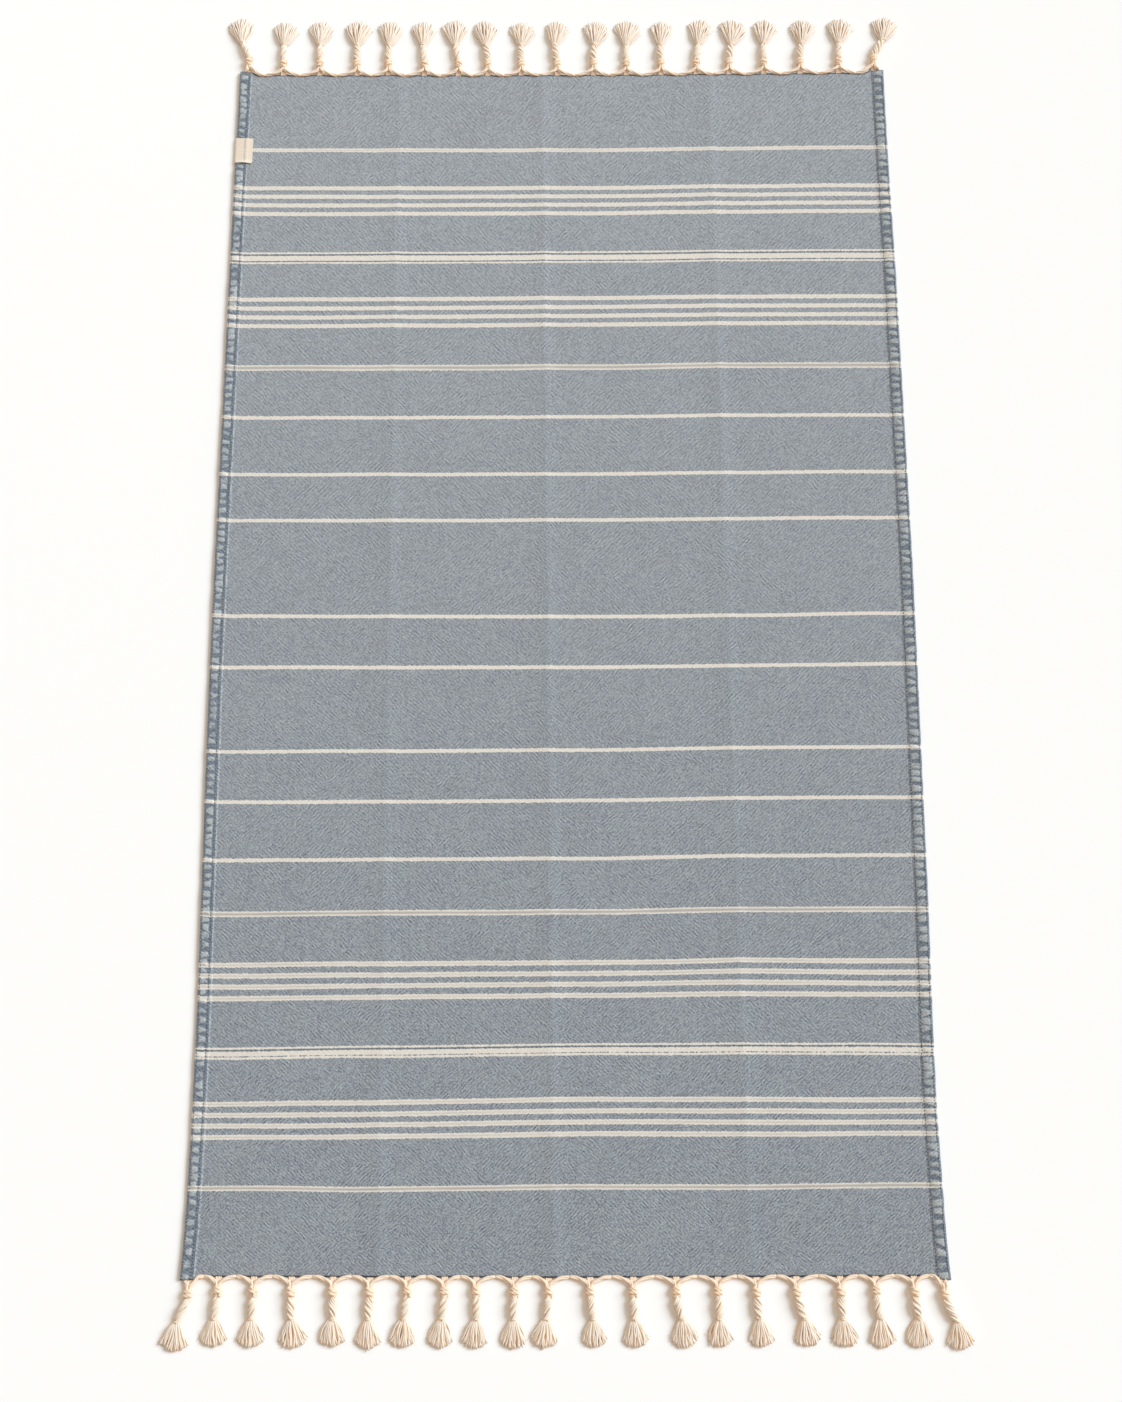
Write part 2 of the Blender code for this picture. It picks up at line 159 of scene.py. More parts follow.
# Distances of a tassel's parts from the cloth's end.
KNOT_START = 11.0 * MM
KNOT_END = 24.5 * MM
NECK = 52.5 * MM
STEM_PLACES = (23.0 * MM, 28.5 * MM, 35.0 * MM, 44.0 * MM, NECK)
STEM_FULL = (1.30 * MM, 2.85 * MM, 3.25 * MM, 2.85 * MM, 1.80 * MM)  # its plies' offset there
PLY_OFFSET = 1.15 * MM  # from the middle of a three-ply cord to the middle of each ply
LEG_PLY = 1.65 * MM  # a ply's radius in a leg
LEG_PITCH = 48.0 * MM  # length of one turn of the plies there
KNOT_PLY = 1.62 * MM  # the same two in the knot
KNOT_PITCH = 20.0 * MM
KNOT_CORE = 2.9 * MM  # radius of the strands that fill the knot
KNOT_HALF_WIDTH = 3.9 * MM
KNOT_HALF_HEIGHT = 3.2 * MM
KNOT_MIDDLE = 5.7 * MM  # height of the middle of the knot
TIE_HALF_WIDTH = 3.4 * MM
TIE_THICK = 0.95 * MM  # radius of the tie's yarn
CAD_REACH = 88.3 * MM  # from the cloth's end to a CAD tassel's tip
# Slabs of the CAD tassel whose middles place the visual one's knot, neck and tuft.
TASSEL_PROBES = ((0.0140, 0.0240), (0.0510, 0.0540), (0.0860, 0.0900))
# painted shade: the tone drops on each yarn's underside and rises on its top
SHADE_DEPTH = 0.40  # how much deeper a yarn's tone is on its underside
LEG_OFFSET = 0.2 * MM
CORNER_INSET = 7.0 * MM

# ---- reading the frame ----


def node_points(name):
    """The vertices of a CAD node."""
    return np.array([vertex.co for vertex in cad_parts[name].data.vertices])


cloth_low, cloth_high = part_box("towel_cloth")
middle_x = (cloth_low.x + cloth_high.x) / 2.0
middle_y = (cloth_low.y + cloth_high.y) / 2.0
cloth_points = node_points("towel_cloth")
END_BAND = 0.0200  # the CAD cloth's last row of points lies in this band at each end
SIDE_BAND = 0.0125  # the corners of its sides lie in this band


def read_side(right):
    """y and x of the corners of the CAD cloth's left or right side."""
    inner = cloth_points[np.abs(cloth_points[:, 1] - middle_y) < cloth_high.y - END_BAND]
    inward = cloth_high.x - inner[:, 0] if right else inner[:, 0] - cloth_low.x
    corners = inner[inward < SIDE_BAND]
    corners = corners[np.argsort(corners[:, 1])]
    return corners[:, 1], corners[:, 0]


def read_end(outward):
    """The CAD cloth's end as x and y of its points, from left to right."""
    along = outward * (cloth_points[:, 1] - middle_y)
    points = cloth_points[along > cloth_high.y - END_BAND]
    order = np.argsort(points[:, 0])
    return points[order, 0], points[order, 1]


def read_crests():
    """x, y and height of the CAD cloth's three fold ridges."""
    hem_zone = 0.1
    high = cloth_points[cloth_points[:, 2] > 3.8 * MM]
    high = high[(high[:, 0] > cloth_low.x + hem_zone) & (high[:, 0] < cloth_high.x - hem_zone)]
    thirds = (middle_x - 0.13, middle_x + 0.13)
    crests = []
    for index in range(3):
        points = high[np.digitize(high[:, 0], thirds) == index]
        points = points[np.argsort(points[:, 1])]
        crests.append((points[:, 1], points[:, 0], points[:, 2].max() - 2.0 * MM))
    return crests


side_lines = {right: read_side(right) for right in (False, True)}
end_lines = {1: read_end(1), -1: read_end(-1)}
crests = read_crests()


def side_x(y, right):
    """x of the towel's left or right side at y; the near corners spread a little."""
    flare = np.clip((-np.asarray(y) - FLARE_START) / FLARE_LENGTH, 0.0, 1.3) ** 2
    growth = SIDE_GROWTH + NEAR_FLARE[right] * flare
    return np.interp(y, *side_lines[right]) + (growth if right else -growth)


def end_y(x, outward):
    return np.interp(x, *end_lines[outward]) + outward * END_GROWTH


def slab_middle(points, outward, edge, probe):
    """Middle x of a tassel's points between two distances from the cloth's end."""
    along = outward * (points[:, 1] - edge)
    chosen = points[(along > probe[0]) & (along < probe[1]), 0]
    return (chosen.min() + chosen.max()) / 2.0


class Tassel(namedtuple("Tassel", "name outward edge knot neck tuft")):
    """Which way a tassel points, y of the cloth's end there, and x of its knot, neck and tuft."""

    def line(self, x, along, z):
        """Points at distances along the tassel from the cloth's end."""
        y = self.edge + self.outward * np.asarray(along)
        return np.stack(np.broadcast_arrays(x, y, z), -1)


def read_tassels(end, outward):
    """Where each CAD tassel of one end has its knot, its neck and the middle of its tuft."""
    found = []
    for name in sorted(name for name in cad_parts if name.startswith(f"tassel_{end}_")):
        points = node_points(name)
        edge = outward * np.max(outward * points[:, 1]) - outward * CAD_REACH
        places = [slab_middle(points, outward, edge, probe) for probe in TASSEL_PROBES]
        found.append(Tassel(name, outward, float(end_y(places[0], outward)), *places))
    return found


tassels = {1: read_tassels("far", 1), -1: read_tassels("near", -1)}


def root_places(outward):
    """x of the middles between tassels, where their legs leave the cloth."""
    row = tassels[outward]
    return np.array([(one.knot + two.knot) / 2.0 for one, two in zip(row, row[1:])])


roots = {1: root_places(1), -1: root_places(-1)}

# ---- shape of the laid cloth ----


def smooth_step(value):
    value = np.clip(value, 0.0, 1.0)
    return value * value * (3.0 - 2.0 * value)


def waves(count, shortest, longest, tilt):
    """Random plane waves: direction vectors in radians per metre, phases and weights."""
    lengths = rng.uniform(shortest, longest, count)
    angles = rng.normal(0.0, tilt, count)
    phases = rng.uniform(0.0, TAU, count)
    weights = rng.uniform(0.5, 1.0, count)
    return np.stack([np.sin(angles), np.cos(angles)], 1) * (TAU / lengths)[:, None], phases, weights


def wave_sum(family, x, y):
    """Sum of a family of waves at places x, y, about -1 to 1."""
    directions, phases, weights = family
    total = np.zeros(np.broadcast(x, y).shape)
    for (along_x, along_y), phase, weight in zip(directions, phases, weights):
        total = total + weight * np.sin(along_x * x + along_y * y + phase)
    return total / math.sqrt(len(phases))


cross_waves = waves(9, 0.055, 0.19, 0.35)
side_waves = waves(9, 0.07, 0.24, 1.5)
fine_waves = waves(8, 0.020, 0.045, 0.9)
weft_waves = waves(6, 0.10, 0.40, 1.57)


def drift(x, y):
    """How far the weft line of y has drifted along the towel at x."""
    table = np.array(sorted(DRIFTS)).T
    columns = [np.interp(y, table[0], drifts) for drifts in table[1:]]
    value = columns[0]
    for place, (a, b) in enumerate(zip(DRIFT_PLACES, DRIFT_PLACES[1:])):
        share = np.clip((x - a) / (b - a), 0.0, 1.0)
        share = 0.5 * share + 0.5 * smooth_step(share)
        value = value + share * (columns[place + 1] - columns[place])
    return value * MM + 0.35 * MM * wave_sum(weft_waves, x, 3.0 * y)


def scallop(x, outward):
    """1 where two tassels' legs leave the cloth's end, 0 between."""
    distance = np.min(np.abs(np.asarray(x)[..., None] - roots[outward]), axis=-1)
    return 1.0 - smooth_step(distance / 0.017)


def weft_place(x, y):
    """y of the weft line y at x: drifted, and bent to the cloth's end near it."""
    place = y + drift(x, y)
    for outward in (1, -1):
        last = end_y(x, outward) - outward * SCALLOP * scallop(x, outward)
        at_end = end_y(DRIFT_PLACES[2], outward)
        share = smooth_step((outward * (y - at_end) + END_ZONE) / END_ZONE)
        place = place + share * (last - at_end - drift(x, at_end * np.ones_like(x)))
    return place


def ridge(x, y):
    """Height of the pressed folds, whose left slopes are longer than their right ones."""
    height = np.zeros(np.broadcast(x, y).shape)
    for number, (rows, places, crest) in enumerate(crests):
        wander = 0.8 * MM * np.sin(TAU * y / 0.31 + number)
        wander = wander + 0.5 * MM * np.sin(TAU * y / 0.083 + 2.0 * number)
        distance = x - np.interp(y, rows, places) - wander
        strength = 0.92 + 0.16 * np.sin(TAU * y / 0.47 + 1.7 * number)
        foot = np.where(distance < 0.0, RIDGE_LEFT, RIDGE_RIGHT)
        narrow = np.exp(-((distance / (5.5 * MM)) ** 2))
        wide = np.exp(-((distance / foot) ** 2))
        height = height + RIDGE_SHARE * crest * strength * (0.28 * narrow + 0.72 * wide)
    return height


label_low, label_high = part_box("label")
label_middle = (label_low.y + label_high.y) / 2.0
label_half = (label_high.y - label_low.y) / 2.0


def label_lift(x, y):
    """How much the label's lower flap raises the cloth."""
    inward = np.maximum(x - label_high.x, 0.0)
    along = np.maximum(np.abs(y - label_middle) - label_half, 0.0)
    share = (1.0 - inward / LABEL_RAMP) * (1.0 - along / LABEL_RAMP)
    return LABEL_LIFT * smooth_step(np.where((inward > LABEL_RAMP) | (along > LABEL_RAMP), 0.0, share))


def ripples(x, y):
    """The slight unevenness of washed cloth."""
    soft = 0.14 * MM * wave_sum(cross_waves, x, y) + 0.12 * MM * wave_sum(side_waves, x, y)
    return soft + 0.035 * MM * wave_sum(fine_waves, x, y)


def cloth_height(x, y):
    """Height of the single cloth's upper face over the surface."""
    return CLOTH_TOP + ridge(x, y) + label_lift(x, y) + np.clip(ripples(x, y), -0.3 * MM, 1.0)


# ---- meshes and attributes ----


def new_piece(name, points, faces, material, replaces=()):
    """A mesh object on the towel's one body."""
    mesh = bpy.data.meshes.new(name)
    mesh.from_pydata(np.asarray(points).tolist(), [], faces)
    mesh.update()
    mesh.shade_smooth()
    mesh.materials.append(material)
    piece = bpy.data.objects.new(name, mesh)
    bpy.context.scene.collection.objects.link(piece)
    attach(piece, "root")
    if replaces:
        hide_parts(*replaces)
    return piece


def add_values(piece, name, values):
    """A named number for each vertex, which the material reads."""
    attribute = piece.data.attributes.new(name, "FLOAT", "POINT")
    attribute.data.foreach_set("value", np.asarray(values, np.float32).ravel())


def add_map(piece, name, places):
    """A UV map with one place for each vertex of a piece."""
    layer = piece.data.uv_layers.new(name=name)
    corners = np.zeros(len(piece.data.loops), np.int32)
    piece.data.loops.foreach_get("vertex_index", corners)
    layer.data.foreach_set("uv", np.asarray(places, np.float32)[corners].ravel())


def grid_faces(rows, columns, start=0, flip=False, closed=False):
    """Quads between a grid's points, numbered row by row; closed joins last to first column."""
    faces = []
    last = columns if closed else columns - 1
    for row in range(rows - 1):
        for column in range(last):
            after = (column + 1) % columns
            low = start + row * columns
            high = low + columns
            quad = (low + column, low + after, high + after, high + column)
            faces.append(quad[::-1] if flip else quad)
    return faces


def new_sheet(name, upper, lower, material, replaces=()):
    """A closed sheet between two grids of points, by row, column and x, y, z."""
    rows, columns = upper.shape[:2]
    half = rows * columns
    faces = grid_faces(rows, columns) + grid_faces(rows, columns, half, flip=True)
    border = [(0, column) for column in range(columns)]
    border += [(row, columns - 1) for row in range(1, rows)]
    border += [(rows - 1, column) for column in range(columns - 2, -1, -1)]
    border += [(row, 0) for row in range(rows - 2, 0, -1)]
    ring = [row * columns + column for row, column in border]
    faces += [(one + half, two + half, two, one) for one, two in zip(ring, ring[1:] + ring[:1])]
    points = np.concatenate([upper.reshape(-1, 3), lower.reshape(-1, 3)])
    return new_piece(name, points, faces, material, replaces)


# ---- weft lines ----


def fill(places, step):
    """The places with more between them, no two further apart than step."""
    filled = [places[0]]
    for low, high in zip(places, places[1:]):
        count = max(1, math.ceil((high - low) / step - 1e-6))
        filled += [low + (high - low) * number / count for number in range(1, count + 1)]
    return filled


def stripe_marks():
    """y of each stripe's edges and middle, and of the middle of each gap."""
    marks = []
    for stripe in STRIPES:
        marks += [stripe.y - stripe.width / 2.0, stripe.y, stripe.y + stripe.width / 2.0]
    for upper, lower in zip(STRIPES, STRIPES[1:]):
        marks.append((upper.y - upper.width / 2.0 + lower.y + lower.width / 2.0) / 2.0)
    return marks


def add_stripes(piece, rows, columns, layers=1):
    """The stripes' numbers for a piece whose rows of points are weft lines."""
    for name, values in zip(("stripe", "split", "beside"), stripe_values(rows)):
        add_values(piece, name, np.tile(np.repeat(values, columns), layers))


def weft_rows(step):
    first, last = (float(end_y(DRIFT_PLACES[2], outward)) for outward in (-1, 1))
    inset = 1.5 * MM
    return np.array(fill(sorted(stripe_marks() + [first, first + inset, last - inset, last]), step))


def stripe_values(rows):
    """For each weft line: mm inside the nearest stripe's edge, its dark middle, the dark gap."""
    inside = np.full(len(rows), -100.0)
    split = np.zeros(len(rows))
    for stripe in STRIPES:
        half = stripe.width / 2.0
        distance = np.abs(rows - stripe.y)
        inside = np.maximum(inside, (half - distance) / MM)
        split = np.maximum(split, stripe.split * (1.0 - distance / half))
    beside = np.zeros(len(rows))
    for upper, lower in zip(STRIPES, STRIPES[1:]):
        top, bottom = upper.y - upper.width / 2.0, lower.y + lower.width / 2.0
        middle, half = (top + bottom) / 2.0, (top - bottom) / 2.0
        dark = min(upper.beside, lower.beside)
        beside = np.maximum(beside, dark * (1.0 - np.abs(rows - middle) / half))
    return np.maximum(inside, -20.0), split, beside


# ---- the single cloth ----


def field_anchors(y):
    """x of the field's sides and of its fold ridges at y."""
    left = side_x(y, False) + HEM_ACROSS - FIELD_UNDER_HEM
    right = side_x(y, True) - HEM_ACROSS + FIELD_UNDER_HEM
    return np.array([left] + [np.interp(y, rows, places) for rows, places, _ in crests] + [right])


def field_columns():
    """x of the field's lengthwise lines at its middle, closer at hems and folds."""
    left, *folds, right = field_anchors(middle_y)
    columns = {side for inset in SIDE_INSETS for side in (left + inset * MM, right - inset * MM)}
    columns |= {fold + step * MM for fold in folds for step in FOLD_STEPS}
    columns |= {fold - step * MM for fold in folds for step in FOLD_STEPS}
    return np.array(fill(sorted(columns), COLUMN_STEP))


def make_field(material):
    """The woven cloth between the hems, as one closed sheet."""
    rows = weft_rows(ROW_STEP)
    columns = field_columns()
    home = field_anchors(middle_y)
    x = np.stack([np.interp(columns, home, field_anchors(row)) for row in rows])
    weft = np.repeat(rows[:, None], len(columns), axis=1)
    y = weft_place(x, weft)
    top = cloth_height(x, y)
    rim = np.zeros(x.shape)
    rim[[0, -1], :] = 1.0
    top = top - 0.55 * MM * rim
    bottom = np.maximum(top - CLOTH_SHEET, 0.1 * MM)
    bottom = np.where(rim > 0.0, np.maximum(top - 0.6 * CLOTH_SHEET, 0.3 * MM), bottom)
    upper = np.stack([x, y, top], -1)
    lower = np.stack([x, y, bottom], -1)
    piece = new_sheet("towel_cloth_woven", upper, lower, material)
    add_stripes(piece, rows, len(columns), layers=2)
    edge = np.minimum(np.abs(y - end_y(x, 1)), np.abs(y - end_y(x, -1)))
    add_values(piece, "edge", np.tile((edge / MM).ravel(), 2))
    across = (x - cloth_low.x) / (cloth_high.x - cloth_low.x)
    along = (y - cloth_low.y) / (cloth_high.y - cloth_low.y)
    upper_map = np.stack([0.01 + 0.84 * across, 0.01 + 0.98 * along], -1).reshape(-1, 2)
    lower_map = np.stack([0.87 + 0.12 * across, 0.01 + 0.98 * along], -1).reshape(-1, 2)
    add_map(piece, "OFBake", np.concatenate([upper_map, lower_map]))
    return piece


# ---- hems ----


def make_puckers(first, last, right):
    """A hem's raised pads, each with its middle, half length, start, stop, wedge, lean and height."""
    puckers = []
    place = first
    while place < last:
        puckers.append((
            place,
            rng.uniform(2.9, 4.7) * MM,
            rng.uniform(2.0, 4.2) * MM,
            (rng.uniform(11.2, 13.2) + PAD_LONGER[right]) * MM,
            rng.uniform(-0.45, 0.45),
            rng.uniform(-0.22, 0.22),
            rng.uniform(0.55, 1.15),
        ))
        place += PUCKER_PITCH * rng.uniform(0.78, 1.25)
    return np.array(puckers)


def hem_freedom(y, right):
    """1 along a hem, 0 where the label holds it down."""
    if right:
        return np.ones_like(y)
    return 1.0 - smooth_step((label_half + 22.0 * MM - np.abs(y - label_middle)) / (20.0 * MM))


def hem_curl(y, inward, right):
    """How much a hem's outer part stands up."""
    share = np.maximum(1.0 - inward / (12.0 * MM), 0.0)
    uneven = 1.0 + 0.22 * np.sin(TAU * y / 0.23 + 1.0) + 0.12 * np.sin(TAU * y / 0.071)
    return HEM_CURL[right] * uneven * share * share * hem_freedom(y, right)


def pucker_shape(puckers, along, inward):
    """Height share of the hem's pads at each place, 0 to about 1."""
    total = np.zeros(along.shape)
    nearest = np.clip(np.searchsorted(puckers[:, 0], along[:, 0]), 1, len(puckers) - 1)
    for offset in (-1, 0):
        middle, half, start, stop, wedge, lean, height = puckers[nearest + offset].T[:, :, None]
        share = np.clip((inward - start) / (stop - start), 0.0, 1.0)
        reach = half * (1.0 + wedge * (2.0 * share - 1.0))
        distance = np.abs(along - middle - lean * (inward - 8.0 * MM))
        lengthwise = 1.0 - smooth_step((distance - 0.68 * reach) / (0.55 * reach))
        crosswise = smooth_step((inward - start + 1.2 * MM) / (2.4 * MM))
        crosswise = crosswise * smooth_step((stop + 1.2 * MM - inward) / (2.4 * MM))
        total = np.maximum(total, height * lengthwise * crosswise)
    return total


def make_hem(name, right, material):
    """One side hem: a turned edge, drawn in by its stitches into a row of soft pads."""
    rows = weft_rows(HEM_STEP)
    inward, section, shows = np.array(HEM_SECTION).T
    direction = -1.0 if right else 1.0
    weft = np.repeat(rows[:, None], len(inward), axis=1)
    depth = np.repeat(inward[None, :], len(rows), axis=0)
    outline = side_x(rows, right) + 0.25 * MM * np.sin(TAU * rows / 0.037) * np.sin(TAU * rows / 0.29)
    x = outline[:, None] + direction * HEM_WIDER[right] * depth
    y = weft_place(x, weft)
    puckers = make_puckers(rows[0] + 4.0 * MM, rows[-1], right)
    pads = pucker_shape(puckers, weft, depth)
    if not right:
        under_label = smooth_step((label_half + 6.0 * MM - np.abs(y - label_middle)) / (6.0 * MM))
        pads = pads * (1.0 - under_label)
    rise = PUCKER_HEIGHT * pads * shows
    lift = label_lift(x, y) + 0.5 * np.clip(ripples(x, y), -0.2 * MM, 0.3 * MM) + hem_curl(y, depth, right)
    fullness = 1.0 + (HEM_FULLNESS[right] - 1.0) * hem_freedom(y, right)
    end_distance = np.minimum(rows - rows[0], rows[-1] - rows)[:, None]
    plump = 0.62 + 0.38 * smooth_step(end_distance / (3.0 * MM))
    z = np.maximum((section[None, :] * fullness + rise) * plump + lift, 0.15 * MM)
    dip = 0.25 * MM * (1.0 - pads) * shows
    x = x - direction * 0.25 * MM * (pads - 0.5) * (depth < 1.0 * MM)
    points = np.stack([x, y, z - dip], -1).reshape(-1, 3)
    row_count, column_count = x.shape
    faces = grid_faces(row_count, column_count, flip=not right, closed=True)
    first_ring = list(range(column_count))
    last_ring = [column + (row_count - 1) * column_count for column in first_ring]
    faces.append(tuple(first_ring if not right else first_ring[::-1]))
    faces.append(tuple(last_ring[::-1] if not right else last_ring))
    piece = new_piece(name, points, faces, material)
    add_stripes(piece, rows, column_count)
    add_values(piece, "edge", np.repeat(end_distance.ravel() / MM, column_count))
    add_values(piece, "pad", pads)
    add_values(piece, "inward", depth / MM)
    share = (rows - rows[0]) / (rows[-1] - rows[0]) * HEM_STRIPS
    strip = np.minimum(share.astype(int), HEM_STRIPS - 1)[:, None]
    u = (strip + np.linspace(0.02, 0.98, column_count)[None, :]) / HEM_STRIPS
    v = 0.01 + 0.98 * (share[:, None] - strip) * np.ones_like(u)
    add_map(piece, "OFBake", np.stack([u, v], -1).reshape(-1, 2))
    return piece


# ---- yarns and cords ----


class Strands:
    """Many closed tubes in one mesh, with a tone and a tip value for each vertex."""

    def __init__(self):
        self.points = []
        self.faces = []
        self.tones = []
        self.tips = []
        self.count = 0

    def add(self, line, radii, sides, tone, tip_from=2.0, tip=1.0):
        """A tube along the line; its tip value rises to tip, from share tip_from of its length."""
        line = np.asarray(line, float)
        rings = len(line)
        radii = np.broadcast_to(np.asarray(radii, float), (rings,))
        side, up = frames_along(line)
        angles = TAU * np.arange(sides) / sides
        around = np.cos(angles)[None, :, None] * side[:, None, :]
        around = around + np.sin(angles)[None, :, None] * up[:, None, :]
        self.points.append((line[:, None, :] + radii[:, None, None] * around).reshape(-1, 3))
        start = self.count
        # painted shade: lower tone on the tube's underside, higher on its top
        depth = SHADE_DEPTH * (around[:, :, 2].ravel() - 0.35)
        self.faces += grid_faces(rings, sides, start, closed=True)
        self.faces.append(tuple(range(start + sides - 1, start - 1, -1)))
        self.faces.append(tuple(range(start + (rings - 1) * sides, start + rings * sides)))
        self.count += rings * sides
        share = np.repeat(np.linspace(0.0, 1.0, rings), sides)
        self.tones.append(tone + depth)
        self.tips.append(tip * np.clip((share - tip_from) / max(1.0 - tip_from, 0.01), 0.0, 1.0))

    def piece(self, name, material, slot, replaces=()):
        points = np.concatenate(self.points)
        points[:, 2] = np.maximum(points[:, 2], 0.1 * MM)
        made = new_piece(name, points, self.faces, material, replaces)
        add_values(made, "tone", np.concatenate(self.tones))
        add_values(made, "tip", np.concatenate(self.tips))
        return made


def frames_along(line):
    """Two directions across a line at each of its points, turning as little as they can."""
    tangents = np.gradient(line, axis=0)
    tangents /= np.linalg.norm(tangents, axis=1)[:, None] + 1e-12
    start = np.array([0.0, 0.0, 1.0]) if abs(tangents[0, 2]) < 0.9 else np.array([1.0, 0.0, 0.0])
    sides = [np.cross(tangents[0], start)]
    sides[0] /= np.linalg.norm(sides[0])
    for tangent in tangents[1:]:
        side = sides[-1] - np.dot(sides[-1], tangent) * tangent
        sides.append(side / (np.linalg.norm(side) + 1e-12))
    side = np.array(sides)
    return side, np.cross(tangents, side)


def smooth_line(points, count):
    """A smooth line of count points through a few given points."""
    points = np.asarray(points, float)
    ends = np.concatenate([[2.0 * points[0] - points[1]], points, [2.0 * points[-1] - points[-2]]])
    places = np.linspace(0.0, len(points) - 1.000001, count)
    whole = places.astype(int)
    t = (places - whole)[:, None]
    a, b, c, d = (ends[whole + shift] for shift in range(4))
    return 0.5 * (2.0 * b + (c - a) * t + (2.0 * a - 5.0 * b + 4.0 * c - d) * t ** 2
                  + (3.0 * b - a - 3.0 * c + d) * t ** 3)


def plies_of(line, offset, count, pitch, phase, flatten=1.0):
    """Lines of plies twisted round a line, at an offset, one turn for each pitch."""
    side, up = frames_along(line)
    steps = np.linalg.norm(np.diff(line, axis=0), axis=1)
    length = np.concatenate([[0.0], np.cumsum(steps)])
    offset = np.broadcast_to(np.asarray(offset, float), (len(line),))
    lines = []
    for number in range(count):
        angle = TAU * (length / pitch + number / count) + phase
        across = (np.cos(angle) * offset)[:, None] * side
        over = (np.sin(angle) * offset * flatten)[:, None] * up
        lines.append(line + across + over)
    return lines


# ---- stitches ----


def make_stitches(name, right, inward, material):
    """A row of stitches along a hem."""
    direction = -1.0 if right else 1.0
    depths, heights, _ = np.array(HEM_SECTION[1:19]).T
    face = float(np.interp(inward, depths, heights))
    strands = Strands()
    place = float(end_y(middle_x, -1)) + 3.0 * MM
    while place < float(end_y(middle_x, 1)) - 3.0 * MM:
        half = 0.5 * STITCH_PITCH * rng.uniform(0.48, 0.66)
        across = inward + rng.normal(0.0, 0.15) * MM
        slant = rng.normal(0.0, 0.12) * MM
        steps = np.array([-1.0, -0.45, 0.45, 1.0])
        y = place + half * steps
        x = side_x(y, right) + direction * HEM_WIDER[right] * (across + slant * steps)
        full = 1.0 + (HEM_FULLNESS[right] - 1.0) * hem_freedom(y, right)
        bow = np.array([-0.25, 0.22, 0.22, -0.25]) * MM
        z = face * full + label_lift(x, y) + hem_curl(y, across, right) + bow
        if right or abs(place - label_middle) > label_half + 2.0 * MM:
            strands.add(np.stack([x, y, z], 1), STITCH_THICK * np.array([0.7, 1.0, 1.0, 0.7]), 5, 0.5)
        place += STITCH_PITCH * rng.uniform(0.93, 1.07)
    return strands.piece(name, material, "cloth")


# ---- tassels ----


def leg_roots(tassel, index):
    """x where a tassel's left and right leg leave the cloth."""
    places = roots[tassel.outward]
    left = float(side_x(tassel.edge, False)) + CORNER_INSET
    right = float(side_x(tassel.edge, True)) - CORNER_INSET
    if index > 0:
        left = places[index - 1] + LEG_OFFSET
    if index < len(places):
        right = places[index] - LEG_OFFSET
    return left, right


def add_leg(strands, tassel, root, toward, twist):
    """One three-ply leg, from on top of the cloth's end along it and into the knot."""
    outward = tassel.outward
    edge = float(end_y(root, outward)) - outward * SCALLOP * float(scallop(root, outward))
    height = float(cloth_height(root, edge))
    span = tassel.knot - root
    back = outward * (edge - tassel.edge)
    line = smooth_line(tassel.line(
        (root, root + 0.14 * span, root + 0.40 * span, root + 0.72 * span,
         tassel.knot - toward * 2.5 * MM, tassel.knot - toward * 1.3 * MM),
        (back + 1.3 * MM, back + 1.7 * MM, back + 2.7 * MM, 4.0 * MM, 7.4 * MM, 13.5 * MM),
        (height + 0.4 * MM, height + 0.9 * MM, 3.8 * MM, 4.6 * MM, 4.8 * MM, 5.2 * MM),
    ), 16)
    swell = np.interp(np.linspace(0.0, 1.0, len(line)), (0.0, 0.2, 1.0), (0.8, 1.0, 1.0))
    for number, ply in enumerate(plies_of(line, PLY_OFFSET * swell, 3, LEG_PITCH, twist)):
        strands.add(ply, LEG_PLY * swell, 6, 0.46 + 0.08 * number)


def add_web(strands, tassel):
    """Short threads from where the legs meet back to the cloth's end."""
    reach = 7.2 * MM
    spread = np.array([1.10, 0.85, 0.30])
    radii = np.array([1.1, 1.2, 1.4, 1.7, 1.7, 1.5, 1.2]) * MM
    for shift in (-3.0, -1.0, 1.0, 3.0):
        x = tassel.knot + spread * shift * MM
        line = tassel.line(x, (-3.0 * MM, 0.45 * reach, reach), (0.6 * MM, 1.4 * MM, 2.6 * MM))
        # painted shade: the web's yarns take a low tone where they lie in the fork
        strands.add(smooth_line(line, 7), radii, 6, rng.uniform(0.35, 0.50))


def add_knot(strands, tassel, hand):
    """The overhand knot: a three-ply cord wound round the core."""
    core_end = KNOT_END + 2.0 * MM
    for shift in (-1.6, 1.6):
        x = tassel.knot + np.array([1.0, 1.0, 0.5]) * shift * MM
        line = tassel.line(x, (KNOT_START, (KNOT_START + core_end) / 2.0, core_end),
                           (4.8 * MM, 5.3 * MM, 4.8 * MM))
        strands.add(smooth_line(line, 8), KNOT_CORE, 8, 0.45)
    turns = rng.uniform(1.75, 2.05)
    begin = rng.uniform(0.0, 0.25)
    share = np.linspace(0.0, 1.0, 46)
    angle = TAU * (begin + turns * share) * hand
    bulge = np.interp(share, (0.0, 0.35, 0.8, 1.0), (0.84, 1.00, 1.10, 0.92))
    along = KNOT_START + 2.2 * MM + (KNOT_END - KNOT_START - 4.6 * MM) * share + 1.2 * MM * np.cos(angle)
    x = tassel.knot + KNOT_HALF_WIDTH * bulge * np.cos(angle)
    line = tassel.line(x, along, KNOT_MIDDLE + KNOT_HALF_HEIGHT * bulge * np.sin(angle))
    for number, ply in enumerate(plies_of(line, PLY_OFFSET, 3, KNOT_PITCH * hand, begin)):
        strands.add(ply, KNOT_PLY, 6, 0.36 + 0.1 * number)


def stem_x(tassel, along):
    """x of a tassel's middle at a distance along it."""
    return np.interp(along, (KNOT_END, NECK, 88.0 * MM), (tassel.knot, tassel.neck, tassel.tuft))


